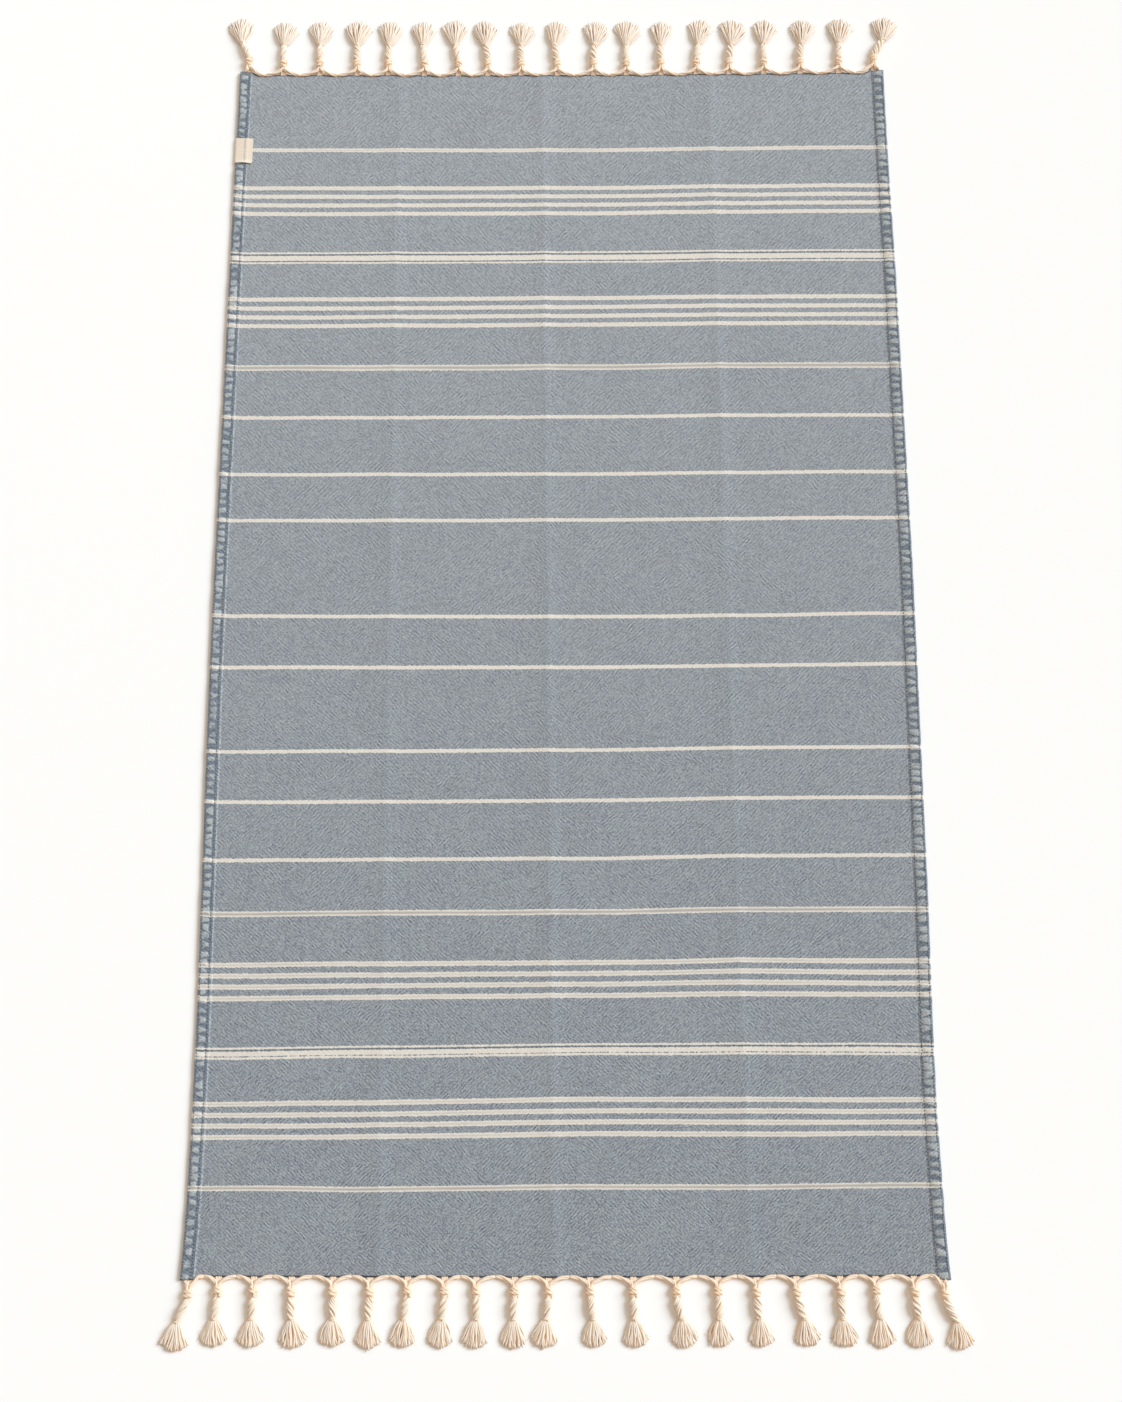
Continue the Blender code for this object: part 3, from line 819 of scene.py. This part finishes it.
def add_stem(strands, tassel, hand):
    """The twisted stem: three plies of three yarns each, fullest in its first half."""
    along = np.linspace(KNOT_END - 2.5 * MM, NECK + 1.0 * MM, 34)
    bend = rng.normal(0.0, 0.5) * MM
    x = stem_x(tassel, along) + bend * np.sin(math.pi * (along - KNOT_END) / (NECK - KNOT_END))
    middle = tassel.line(x, along, np.interp(along, (KNOT_END, NECK), (5.8 * MM, 5.0 * MM)))
    full = np.interp(along, STEM_PLACES, STEM_FULL)
    phase = rng.uniform(0.0, TAU)
    plies = plies_of(middle, full, 3, rng.uniform(26.0, 34.0) * MM * hand, phase, flatten=0.75)
    for number, ply in enumerate(plies):
        tone = rng.uniform(0.74, 0.96)
        for yarn in plies_of(ply, 0.50 * full, 3, 60.0 * MM * hand, phase + number):
            strands.add(yarn, 0.50 * full + 0.28 * MM, 6, tone + rng.normal(0.0, 0.10))


def add_tie(strands, tassel, hand):
    """The small tie at the end of the stem."""
    share = np.linspace(0.0, 1.0, 22)
    angle = TAU * (rng.uniform(0.0, 1.0) + 1.3 * share) * hand
    x = float(stem_x(tassel, NECK)) + TIE_HALF_WIDTH * np.cos(angle)
    along = NECK - 2.0 * MM + 2.6 * MM * share
    line = tassel.line(x, along, 4.8 * MM + 3.3 * MM * np.sin(angle))
    strands.add(line, TIE_THICK, 6, 0.55)


Tuft = namedtuple("Tuft", "spread reach shorter height tip depth")
NEAR_TUFT = Tuft(math.radians(38.0), 33.6 * MM, 0.15, 8.0 * MM, 0.30, 0.95)
FAR_TUFT = Tuft(math.radians(37.0), 42.5 * MM, 0.20, 9.0 * MM, 0.70, 0.5)
BELL = 0.16  # how much wider a tuft's upper half is than a plain fan
# painted shade: the lower layers' low tone, strongest where a Tuft's depth is near 1, makes the yarns
# beneath the top layer tan
TuftLayer = namedtuple("TuftLayer", "height yarns thick tone")
TUFT_LAYERS = (
    TuftLayer(0.35, 12, 2.00 * MM, 0.10),
    TuftLayer(0.80, 13, 1.50 * MM, 0.30),
    TuftLayer(1.0, 11, 1.25 * MM, 0.95),
)


def add_tuft(strands, tassel):
    """The loose yarns past the neck: three fans, one over the other, and strays."""
    kind = NEAR_TUFT if tassel.outward < 0 else FAR_TUFT
    spread = kind.spread * rng.uniform(0.90, 1.10)
    reach = kind.reach * rng.uniform(0.96, 1.04)
    neck_x = float(stem_x(tassel, NECK))
    lean = math.atan2(tassel.tuft - neck_x, reach)
    for layer in TUFT_LAYERS:
        for number in range(layer.yarns):
            fan = (number + 0.5 + rng.uniform(-0.4, 0.4)) / layer.yarns * 2.0 - 1.0
            fan *= 1.0 - 0.10 * layer.height
            add_tuft_yarn(strands, tassel, kind, layer, fan, fan * spread + lean, reach, neck_x)
    for _ in range(4):
        side = rng.choice((-1.0, 1.0))
        angle = lean + side * spread * rng.uniform(0.75, 1.08)
        add_stray(strands, tassel, angle, reach * rng.uniform(0.55, 0.8), neck_x)


def add_tuft_yarn(strands, tassel, kind, layer, fan, angle, reach, neck_x):
    """One yarn of a tuft; fan is its place across, -1 to 1, and angle its direction."""
    length = reach * (1.0 - kind.shorter * fan * fan) + rng.normal(0.0, 0.9) * MM
    share = np.linspace(0.0, 1.0, 12)
    start = fan * 2.7 * MM
    across = start * (1.0 - share) + length * math.sin(angle) * share * (1.0 + BELL * (1.0 - share))
    bend = rng.normal(0.0, 1.1) * MM * np.sin(math.pi * share)
    wave = 1.0 * MM * share * np.sin(TAU * (rng.uniform(0.8, 1.7) * share + rng.uniform(0.0, 1.0)))
    along = NECK - 2.5 * MM + (length * math.cos(angle) + 2.5 * MM) * share
    low = np.interp(share, (0.0, 0.3, 1.0), (3.0, 1.6, 1.2)) * MM
    full = kind.height
    high = np.interp(share, (0.0, 0.3, 0.65, 1.0), (5.4 * MM, full, 0.86 * full, 3.6 * MM))
    top = low + (high - low) * (1.0 - 0.55 * fan * fan)
    z = low + (top - low) * layer.height + 0.35 * MM * share * rng.normal(0.0, 0.6)
    line = tassel.line(neck_x + across + bend + wave, along, np.maximum(z, 1.1 * MM))
    thick = layer.thick * rng.uniform(0.85, 1.12) * (1.0 - 0.30 * fan ** 4)
    radii = thick * np.interp(share, (0.0, 0.25, 0.9, 1.0), (0.75, 1.0, 1.0, 0.72))
    pale = 0.75 * abs(fan) ** 3
    # painted shade: lower layers take a deeper tone
    tone = 1.0 - (1.0 - layer.tone) * kind.depth + pale + rng.normal(0.0, 0.12)
    strands.add(line, radii, 5, tone, tip_from=0.55, tip=kind.tip)


def add_stray(strands, tassel, angle, start, neck_x):
    """A thin fibre that stands off a tuft's side."""
    steps = np.linspace(0.0, 1.0, 6)
    heading = angle + rng.normal(0.0, 0.25) + rng.normal(0.0, 0.8) * steps
    length = rng.uniform(4.0, 8.0) * MM
    x = neck_x + start * math.sin(angle) + length * steps * np.sin(heading)
    along = NECK + start * math.cos(angle) + length * steps * np.cos(heading)
    hair = tassel.line(x, along, rng.uniform(1.2, 4.5) * MM * (1.0 - 0.4 * steps))
    strands.add(hair, rng.uniform(0.16, 0.34) * MM, 3, 0.95)


def make_tassel(tassel, index, material):
    strands = Strands()
    hand = 1.0 if rng.uniform() < 0.5 else -1.0
    left, right = leg_roots(tassel, index)
    add_leg(strands, tassel, left, 1.0, rng.uniform(0.0, TAU))
    add_leg(strands, tassel, right, -1.0, rng.uniform(0.0, TAU))
    add_web(strands, tassel)
    add_knot(strands, tassel, hand)
    add_stem(strands, tassel, hand)
    add_tie(strands, tassel, hand)
    add_tuft(strands, tassel)
    return strands.piece(f"{tassel.name}_yarns", material, "yarn", (tassel.name,))


# ---- label ----


def make_label(material):
    """A bare strip of tape, folded round the hem, its upper flap stepping down to the cloth."""
    outer = label_low.x
    inner = label_high.x
    hem_inner = float(side_x(label_middle, False)) + HEM_ACROSS
    path = smooth_line((
        (inner, 0.45 * MM),
        ((inner + outer) / 2.0, 0.45 * MM),
        (outer + 2.6 * MM, 0.5 * MM),
        (outer + 0.6 * MM, 1.2 * MM),
        (outer + 0.35 * MM, 2.8 * MM),
        (outer + 1.1 * MM, 4.3 * MM),
        (outer + 3.4 * MM, 4.75 * MM),
        ((inner + outer) / 2.0, 4.8 * MM),
        (hem_inner - 3.0 * MM, 4.85 * MM),
        (hem_inner - 0.5 * MM, 4.4 * MM),
        (inner - 2.5 * MM, 3.85 * MM),
        (inner, 3.75 * MM),
    ), 58)
    flat = np.stack([path[:, 0], np.zeros(len(path)), path[:, 1]], 1)
    tangent = np.gradient(flat, axis=0)
    tangent /= np.linalg.norm(tangent, axis=1)[:, None]
    normal = np.stack([-tangent[:, 2], np.zeros(len(path)), tangent[:, 0]], 1)
    steps = np.linalg.norm(np.diff(flat, axis=0), axis=1)
    length = np.concatenate([[0.0], np.cumsum(steps)])
    upper_flap = smooth_step((length - 0.5 * length[-1]) / (0.12 * length[-1]))
    rows = np.linspace(-label_half + 0.3 * MM, label_half - 0.3 * MM, 27)
    near_end = smooth_step((-rows / label_half - 0.62) / 0.38)
    layers = []
    for side in (0.5, -0.5):
        for row, curl in zip(rows, near_end):
            wave = 0.40 * MM * np.sin(TAU * length / 0.021 + 1.0)
            lift = upper_flap * curl * (1.10 * MM + wave)
            skew = 0.5 * MM * curl * np.sin(TAU * length / 0.05)
            layer = flat + normal * side * LABEL_TAPE
            layer[:, 1] = label_middle + row - skew
            layer[:, 2] = layer[:, 2] + lift
            layers.append(layer)
    row_count = len(rows)
    layers = np.array(layers)
    piece = new_sheet("label_tape", layers[:row_count], layers[row_count:], material, ("label",))
    share = (layers[:, :, 0].ravel() - outer) / (inner - outer)
    upper = np.tile(upper_flap, 2 * row_count)
    add_values(piece, "sewn", upper * np.exp(-((share - LABEL_SEAM) / 0.035) ** 2))
    # painted highlight on the curled near end of the upper flap
    add_values(piece, "lip_highlight", np.tile(np.repeat(near_end, len(path)), 2) * upper)
    return piece


# ---- materials ----


class Nodes:
    """Short ways to add and link shader nodes of one material."""

    def __init__(self, name):
        self.material = bpy.data.materials.new(name)
        self.material.use_nodes = True
        self.tree = self.material.node_tree
        self.shader = self.tree.nodes["Principled BSDF"]

    def feed(self, socket, value):
        if isinstance(value, bpy.types.NodeSocket):
            self.tree.links.new(value, socket)
        elif value is not None:
            socket.default_value = value

    def add(self, kind, inputs=(), **settings):
        node = self.tree.nodes.new(kind)
        for name, value in settings.items():
            setattr(node, name, value)
        for name, value in dict(inputs).items():
            self.feed(node.inputs[name], value)
        return node

    def math(self, operation, first, second=0.0, third=None, clamp=False):
        node = self.add("ShaderNodeMath", {0: first, 1: second}, operation=operation, use_clamp=clamp)
        self.feed(node.inputs[2], third)
        return node.outputs[0]

    def times(self, first, second, clamp=False):
        return self.math("MULTIPLY", first, second, clamp=clamp)

    def swing(self, value, share, base, middle=0.5, clamp=False):
        """The base and a share of how far the value is from its middle."""
        return self.math("MULTIPLY_ADD", self.math("SUBTRACT", value, middle), share, base, clamp=clamp)

    def ramp(self, value, low, high, to_low=0.0, to_high=1.0):
        """Value carried smoothly from one range to another."""
        inputs = {"Value": value, "From Min": low, "From Max": high, "To Min": to_low, "To Max": to_high}
        return self.add("ShaderNodeMapRange", inputs, interpolation_type="SMOOTHSTEP").outputs["Result"]

    def mix(self, factor, first, second):
        """A colour between two colours."""
        node = self.add("ShaderNodeMix", {"Factor": factor}, data_type="RGBA")
        for place, color in ((6, first), (7, second)):
            self.feed(node.inputs[place], (*color, 1.0) if isinstance(color, tuple) else color)
        return node.outputs[2]

    def value(self, name):
        """A piece's number for each vertex."""
        return self.add("ShaderNodeAttribute", attribute_name=name).outputs["Fac"]

    def axis(self, name):
        """One of the object coordinates."""
        return self.add("ShaderNodeSeparateXYZ", {0: self.place()}).outputs[name]

    def place(self, scale=(1.0, 1.0, 1.0)):
        """Object coordinates, scaled."""
        coordinates = self.add("ShaderNodeTexCoord").outputs["Object"]
        node = self.add("ShaderNodeMapping", {"Vector": coordinates})
        node.inputs["Scale"].default_value = scale
        return node.outputs["Vector"]

    def noise(self, scale, stretch=(1.0, 1.0, 1.0), detail=2.0, places=None):
        inputs = {"Vector": places or self.place(stretch), "Scale": scale, "Detail": detail}
        return self.add("ShaderNodeTexNoise", inputs).outputs["Fac"]

    def bands(self, axis, period, **inputs):
        """Waves side by side along one axis, 0 between them and 1 on top."""
        inputs |= {"Vector": self.place(), "Scale": WAVE_UNIT / period}
        return self.add("ShaderNodeTexWave", inputs, wave_type="BANDS", bands_direction=axis).outputs["Fac"]

    def bump(self, height, strength, distance):
        inputs = {"Height": height, "Strength": strength, "Distance": distance}
        self.feed(self.shader.inputs["Normal"], self.add("ShaderNodeBump", inputs).outputs["Normal"])

    def finish(self, color, roughness, sheen):
        self.feed(self.shader.inputs["Base Color"], color)
        self.shader.inputs["Roughness"].default_value = roughness
        self.shader.inputs["Specular IOR Level"].default_value = 0.15
        self.shader.inputs["Sheen Weight"].default_value = sheen
        return self.material


SLATE = (0.110, 0.118, 0.164)
PALE = (0.432, 0.475, 0.478)
WARM = (0.430, 0.425, 0.420)
# painted shade along the raw ends, where the cloth's end curls down
END_SHADE_NAVY = (0.020, 0.028, 0.040)
CREAM = (0.800, 0.750, 0.680)
CREAM_SHADE = (0.590, 0.530, 0.455)
FLOOR_NEAR = (0.965, 0.957, 0.938)
FLOOR_FAR = (0.915, 0.907, 0.889)
LOOSENING = 0.12  # how much coarser the weave is for each metre towards the far end
RIB_PERIOD = 4.4 * MM  # distance between the washed twill's diagonal ribs
RIB_CONTRAST = 1.25
RIB_FREQUENCY = 2.3  # how many ribs lie side by side before they break up
WAVE_UNIT = TAU / 20.0  # length of one band of a wave texture at scale 1


def washed(nodes):
    """Object coordinates that make the weave coarser towards the far end."""
    along = nodes.axis("Y")
    looser = nodes.add("ShaderNodeVectorMath", {0: nodes.place()}, operation="SCALE")
    nodes.feed(looser.inputs["Scale"], nodes.math("MULTIPLY_ADD", along, -LOOSENING, 1.0))
    return looser.outputs["Vector"]


def twill(nodes, places):
    """Broken diagonal ribs, about 0.25 to 0.75, which fall on the left and rise on the right."""
    side = nodes.axis("X")
    patches = nodes.math("MULTIPLY_ADD", side, 0.22, nodes.noise(8.0, detail=1.0))
    patches = nodes.math("MULTIPLY_ADD", nodes.noise(75.0, detail=0.0), 0.16, patches)
    turn = nodes.ramp(patches, 0.570, 0.590, math.radians(44.0), math.radians(136.0))
    node = nodes.add("ShaderNodeTexGabor", {"Vector": places, "Scale": 1.0 / (RIB_PERIOD * RIB_FREQUENCY)})
    node.inputs["Frequency"].default_value = RIB_FREQUENCY
    node.inputs["Anisotropy"].default_value = 0.90
    nodes.feed(node.inputs[4], turn)
    return node.outputs["Value"]


def weave(nodes):
    """Light and dark of the washed twill, about 0 to 1, and its relief."""
    places = washed(nodes)
    ribs = twill(nodes, places)
    threads = nodes.times(
        nodes.bands("X", 0.75 * MM, Distortion=0.6, Detail=0.0),
        nodes.bands("Y", 0.85 * MM, Distortion=0.6, Detail=0.0),
    )
    parts = (
        (nodes.noise(340.0, places=places, detail=0.0), 0.85),
        (nodes.noise(600.0, places=places, detail=0.0), 1.00),
        (nodes.noise(110.0, detail=1.0), 0.12),
        (nodes.noise(1.0, (26.0, 420.0, 1.0), detail=1.0), 0.26),
        (nodes.noise(1.0, (380.0, 20.0, 1.0), detail=1.0), 0.22),
        (nodes.noise(9.0), 0.14),
    )
    total = nodes.swing(ribs, RIB_CONTRAST, 0.0)
    for part, share in parts:
        total = nodes.swing(part, share, total)
    tone = nodes.swing(threads, 0.26, total, middle=0.25)
    along = nodes.axis("Y")
    faded = nodes.times(tone, nodes.ramp(along, -0.9, 0.2, 0.80, 0.66))
    relief = nodes.math("MULTIPLY_ADD", nodes.math("ADD", ribs, parts[0][0]), 0.12, threads)
    return nodes.math("ADD", faded, 0.5, clamp=True), relief


def striped(nodes, ground, tone):
    """The ground colour with the cream stripes, their parted middles and dark neighbours."""
    inside = nodes.swing(nodes.noise(400.0, (1.0, 0.35, 1.0)), 3.4, nodes.value("stripe"))
    mask = nodes.ramp(inside, -0.45, 0.35)
    gap = nodes.times(nodes.value("beside"), nodes.ramp(inside, 0.0, -0.6), clamp=True)
    ground = nodes.mix(nodes.times(gap, 0.75), ground, (0.085, 0.110, 0.125))
    yarn = nodes.swing(tone, 0.8, 0.66, clamp=True)
    cream = nodes.mix(yarn, CREAM_SHADE, CREAM)
    open_middle = nodes.ramp(nodes.noise(1.0, (9.0, 2.0, 1.0), detail=1.0), 0.40, 0.62)
    strength = nodes.math("MULTIPLY_ADD", open_middle, 0.35, nodes.value("split"))
    parted = nodes.times(nodes.ramp(nodes.value("split"), 0.12, 0.9), strength, clamp=True)
    cream = nodes.mix(nodes.times(parted, 0.6), cream, (0.240, 0.240, 0.230))
    return nodes.mix(mask, ground, cream), mask


def cloth_ground(nodes, tone):
    """Slate and pale yarns, warmer in patches; painted light makes the cloth up to a tenth paler towards the
    far end, and painted shade lays dark navy along the cloth's raw ends.
    """
    patches = nodes.times(nodes.ramp(nodes.noise(60.0, (0.6, 1.0, 1.0)), 0.45, 0.75), 0.35)
    pale = nodes.mix(patches, PALE, WARM)
    ground = nodes.mix(tone, SLATE, pale)
    along = nodes.axis("Y")
    # painted light: the cloth is up to a tenth paler towards the far end
    ground = nodes.mix(nodes.ramp(along, -0.9, 1.3, 0.0, 0.10), ground, (0.750, 0.760, 0.760))
    # painted shade: dark navy within a few millimetres of the raw ends
    edge = nodes.math("MULTIPLY_ADD", nodes.noise(90.0, detail=1.0), 1.6, nodes.value("edge"))
    rim = nodes.ramp(edge, 3.8, 2.2)
    return nodes.mix(nodes.times(rim, 0.85), ground, END_SHADE_NAVY)


def cloth_material():
    nodes = Nodes("woven_cotton_blue")
    tone, relief = weave(nodes)
    color, mask = striped(nodes, cloth_ground(nodes, tone), tone)
    nodes.bump(nodes.math("MULTIPLY_ADD", mask, 0.8, relief), 0.5, 0.15 * MM)
    return nodes.finish(color, 0.92, 0.12)


def hem_material():
    """The same cloth, worn pale on the pads and dark where it is drawn in."""
    nodes = Nodes("hem_cotton")
    tone, relief = weave(nodes)
    rough = nodes.math("SUBTRACT", nodes.noise(300.0), 0.5)
    pad = nodes.math("MULTIPLY_ADD", rough, 1.35, nodes.value("pad"))
    inward = nodes.value("inward")
    worn = nodes.ramp(pad, 0.05, 0.95)
    shade = nodes.swing(tone, 1.3, 0.5, clamp=True)
    dark = nodes.mix(shade, (0.095, 0.117, 0.152), (0.245, 0.275, 0.308))
    light = nodes.mix(shade, (0.300, 0.325, 0.340), (0.530, 0.550, 0.545))
    color = nodes.mix(worn, dark, light)
    outer = nodes.times(nodes.ramp(inward, 3.3, 1.5), 0.7)
    plain = nodes.mix(tone, SLATE, PALE)
    color = nodes.mix(outer, color, plain)
    seam = nodes.times(nodes.ramp(inward, 12.6, 14.0), nodes.ramp(inward, 16.4, 15.2))
    dashes = nodes.ramp(nodes.noise(1.0, (90.0, 300.0, 1.0), detail=0.0), 0.46, 0.60, 0.0, 0.30)
    color = nodes.mix(nodes.times(seam, dashes), color, (0.120, 0.145, 0.180))
    between = nodes.times(seam, nodes.ramp(dashes, 0.40, 0.02, 0.0, 0.75))
    color = nodes.mix(between, color, plain)
    # painted highlight: a pale dotted line along the top of the hem's inner fold
    beads = nodes.ramp(nodes.noise(1.0, (60.0, 330.0, 1.0), detail=0.0), 0.42, 0.60, 0.0, 0.80)
    painted_fold_highlight = nodes.times(nodes.ramp(inward, 16.8, 17.6), nodes.ramp(inward, 19.2, 18.5))
    color = nodes.mix(nodes.ramp(inward, 16.4, 17.4), color, plain)
    color = nodes.mix(nodes.times(painted_fold_highlight, beads), color, (0.500, 0.510, 0.500))
    # paler along the outer edge: partly wear, partly painted light bounced onto it
    edge_wear_and_bounce_light = nodes.times(nodes.ramp(inward, 1.2, 0.4), nodes.ramp(rough, -0.1, 0.15))
    color = nodes.mix(nodes.times(edge_wear_and_bounce_light, 0.35), color, (0.420, 0.420, 0.400))
    color = striped(nodes, color, nodes.math("MULTIPLY_ADD", worn, 0.35, nodes.times(tone, 0.6)))[0]
    # painted shade: dark navy at the hem's ends
    rim = nodes.times(nodes.ramp(nodes.value("edge"), 1.5, 0.3), 0.8)
    color = nodes.mix(rim, color, END_SHADE_NAVY)
    nodes.bump(nodes.math("MULTIPLY_ADD", rough, 2.0, relief), 0.6, 0.3 * MM)
    return nodes.finish(color, 0.92, 0.12)


def thread_material():
    """Dark sewing thread, a little faded in places."""
    nodes = Nodes("sewing_thread_dark")
    fade = nodes.noise(260.0)
    nodes.bump(nodes.noise(2400.0, detail=1.0), 0.4, 0.1 * MM)
    return nodes.finish(nodes.mix(fade, (0.060, 0.080, 0.110), (0.150, 0.175, 0.200)), 0.8, 0.1)


def yarn_material():
    """Undyed cotton yarn: pale on top, nearly white at the cut tips, and warm tan in its depths as painted
    shade.
    """
    nodes = Nodes("cotton_yarn_cream")
    fibres = nodes.noise(900.0, (1.0, 0.45, 1.0))
    blotches = nodes.noise(160.0, detail=1.0)
    tone = nodes.swing(blotches, 0.35, nodes.swing(fibres, 0.5, nodes.value("tone")), clamp=True)
    # painted shade: low tones turn warm tan, standing in for shade and warm light bounced between yarns
    color = nodes.mix(tone, (0.960, 0.640, 0.380), (0.870, 0.755, 0.635))
    color = nodes.mix(nodes.value("tip"), color, (0.885, 0.805, 0.720))
    nodes.bump(fibres, 0.4, 0.3 * MM)
    return nodes.finish(color, 0.9, 0.15)


def label_material():
    """Unbleached tape with fine ribs along its length and a painted highlight along its curled near end."""
    nodes = Nodes("label_tape_cream")
    ribs = nodes.bands("X", 0.9 * MM)
    grain = nodes.noise(700.0, (1.0, 0.4, 1.0))
    tone = nodes.math("MULTIPLY_ADD", ribs, 0.35, nodes.times(grain, 0.8), clamp=True)
    color = nodes.mix(tone, (0.640, 0.540, 0.420), (0.860, 0.755, 0.630))
    beads = nodes.ramp(nodes.noise(1.0, (120.0, 520.0, 1.0), detail=0.0), 0.35, 0.60, 0.15, 0.75)
    color = nodes.mix(nodes.times(nodes.value("sewn"), beads), color, (0.260, 0.225, 0.190))
    # painted highlight: the curled near end is paler
    color = nodes.mix(nodes.times(nodes.value("lip_highlight"), 0.5), color, (0.930, 0.850, 0.740))
    nodes.bump(nodes.math("ADD", ribs, grain), 0.4, 0.2 * MM)
    return nodes.finish(color, 0.75, 0.15)


def floor_material():
    """White paper, a little greyer towards the far end, where more light falls."""
    nodes = Nodes("pale_floor")
    side = nodes.axis("Y")
    color = nodes.mix(nodes.ramp(side, -1.6, 1.6), FLOOR_NEAR, FLOOR_FAR)
    return nodes.finish(color, 0.95, 0.0)


# ---- floor, light and camera ----


FLOOR_REACH = 9.0  # from the middle to each side
KEY_PLACE = (3.0, 1.2, 2.35)
KEY_ANGLE = 32.0  # degrees across the key, for soft shadows
KEY_STRENGTH = 3.05
FILL_PLACE = (-0.8, 2.9, 2.9)
KEY_COLOR = (0.86, 1.0, 1.13)
FILL_POWER = 19.0
FILL_SIZE = 3.0
WORLD_STRENGTH = 0.485
WORLD_COLOR = (1.020, 0.860, 0.700, 1.0)
CAMERA_PLACE = (-3.4 * MM, -0.8928, 2.642)  # from the towel's middle and the floor
CAMERA_TILT = 16.3  # degrees from straight down


def make_floor():
    corners = [(x * FLOOR_REACH, y * FLOOR_REACH, 0.0) for x, y in ((-1, -1), (1, -1), (1, 1), (-1, 1))]
    mesh = bpy.data.meshes.new("floor")
    mesh.from_pydata(corners, [], [(0, 1, 2, 3)])
    mesh.materials.append(floor_material())
    floor = bpy.data.objects.new("floor", mesh)
    bpy.context.scene.collection.objects.link(floor)


def place_lamp(light, place):
    """A lamp at a place, aimed at the towel's middle."""
    lamp = bpy.data.objects.new(light.name, light)
    lamp.location = place
    flat = math.hypot(place[0], place[1])
    lamp.rotation_euler = (math.atan2(flat, place[2]), 0.0, math.atan2(-place[1], -place[0]) - math.pi / 2)
    bpy.context.scene.collection.objects.link(lamp)


def make_lights():
    """A broad key from the right, a large fill past the far end, and warm light from all round."""
    key = bpy.data.lights.new("key", "SUN")
    key.angle = math.radians(KEY_ANGLE)
    key.energy = KEY_STRENGTH
    key.color = KEY_COLOR
    place_lamp(key, KEY_PLACE)
    fill = bpy.data.lights.new("fill", "AREA")
    fill.shape = "DISK"
    fill.size = FILL_SIZE
    fill.energy = FILL_POWER
    place_lamp(fill, FILL_PLACE)
    world = bpy.data.worlds.new("studio")
    world.use_nodes = True
    background = world.node_tree.nodes["Background"]
    background.inputs["Color"].default_value = WORLD_COLOR
    background.inputs["Strength"].default_value = WORLD_STRENGTH
    bpy.context.scene.world = world
    bpy.context.scene.view_settings.view_transform = "Standard"


def make_camera():
    """Above the near end, looking down and a little along the towel."""
    camera = bpy.data.cameras.new("camera")
    camera.lens = 50.0
    camera.sensor_width = 36.0
    view = bpy.data.objects.new("camera", camera)
    view.location = (middle_x + CAMERA_PLACE[0], middle_y + CAMERA_PLACE[1], CAMERA_PLACE[2])
    view.rotation_euler = (math.radians(CAMERA_TILT), 0.0, 0.0)
    bpy.context.scene.collection.objects.link(view)
    bpy.context.scene.camera = view


# ---- the towel ----


def make_towel():
    cloth = make_field(cloth_material())
    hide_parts("towel_cloth")
    cotton = hem_material()
    thread = thread_material()
    hems = [make_hem("hem_left", False, cotton), make_hem("hem_right", True, cotton)]
    for side, right in (("left", False), ("right", True)):
        hems.append(make_stitches(f"stitches_{side}_inner", right, STITCH_INWARD, thread))
        hems.append(make_stitches(f"stitches_{side}_outer", right, OUTER_STITCH_INWARD, thread))
    make_label(label_material())
    yarn = yarn_material()
    fringe = [make_tassel(one, index, yarn) for end in (1, -1) for index, one in enumerate(tassels[end])]


make_floor()
make_lights()
make_camera()
make_towel()
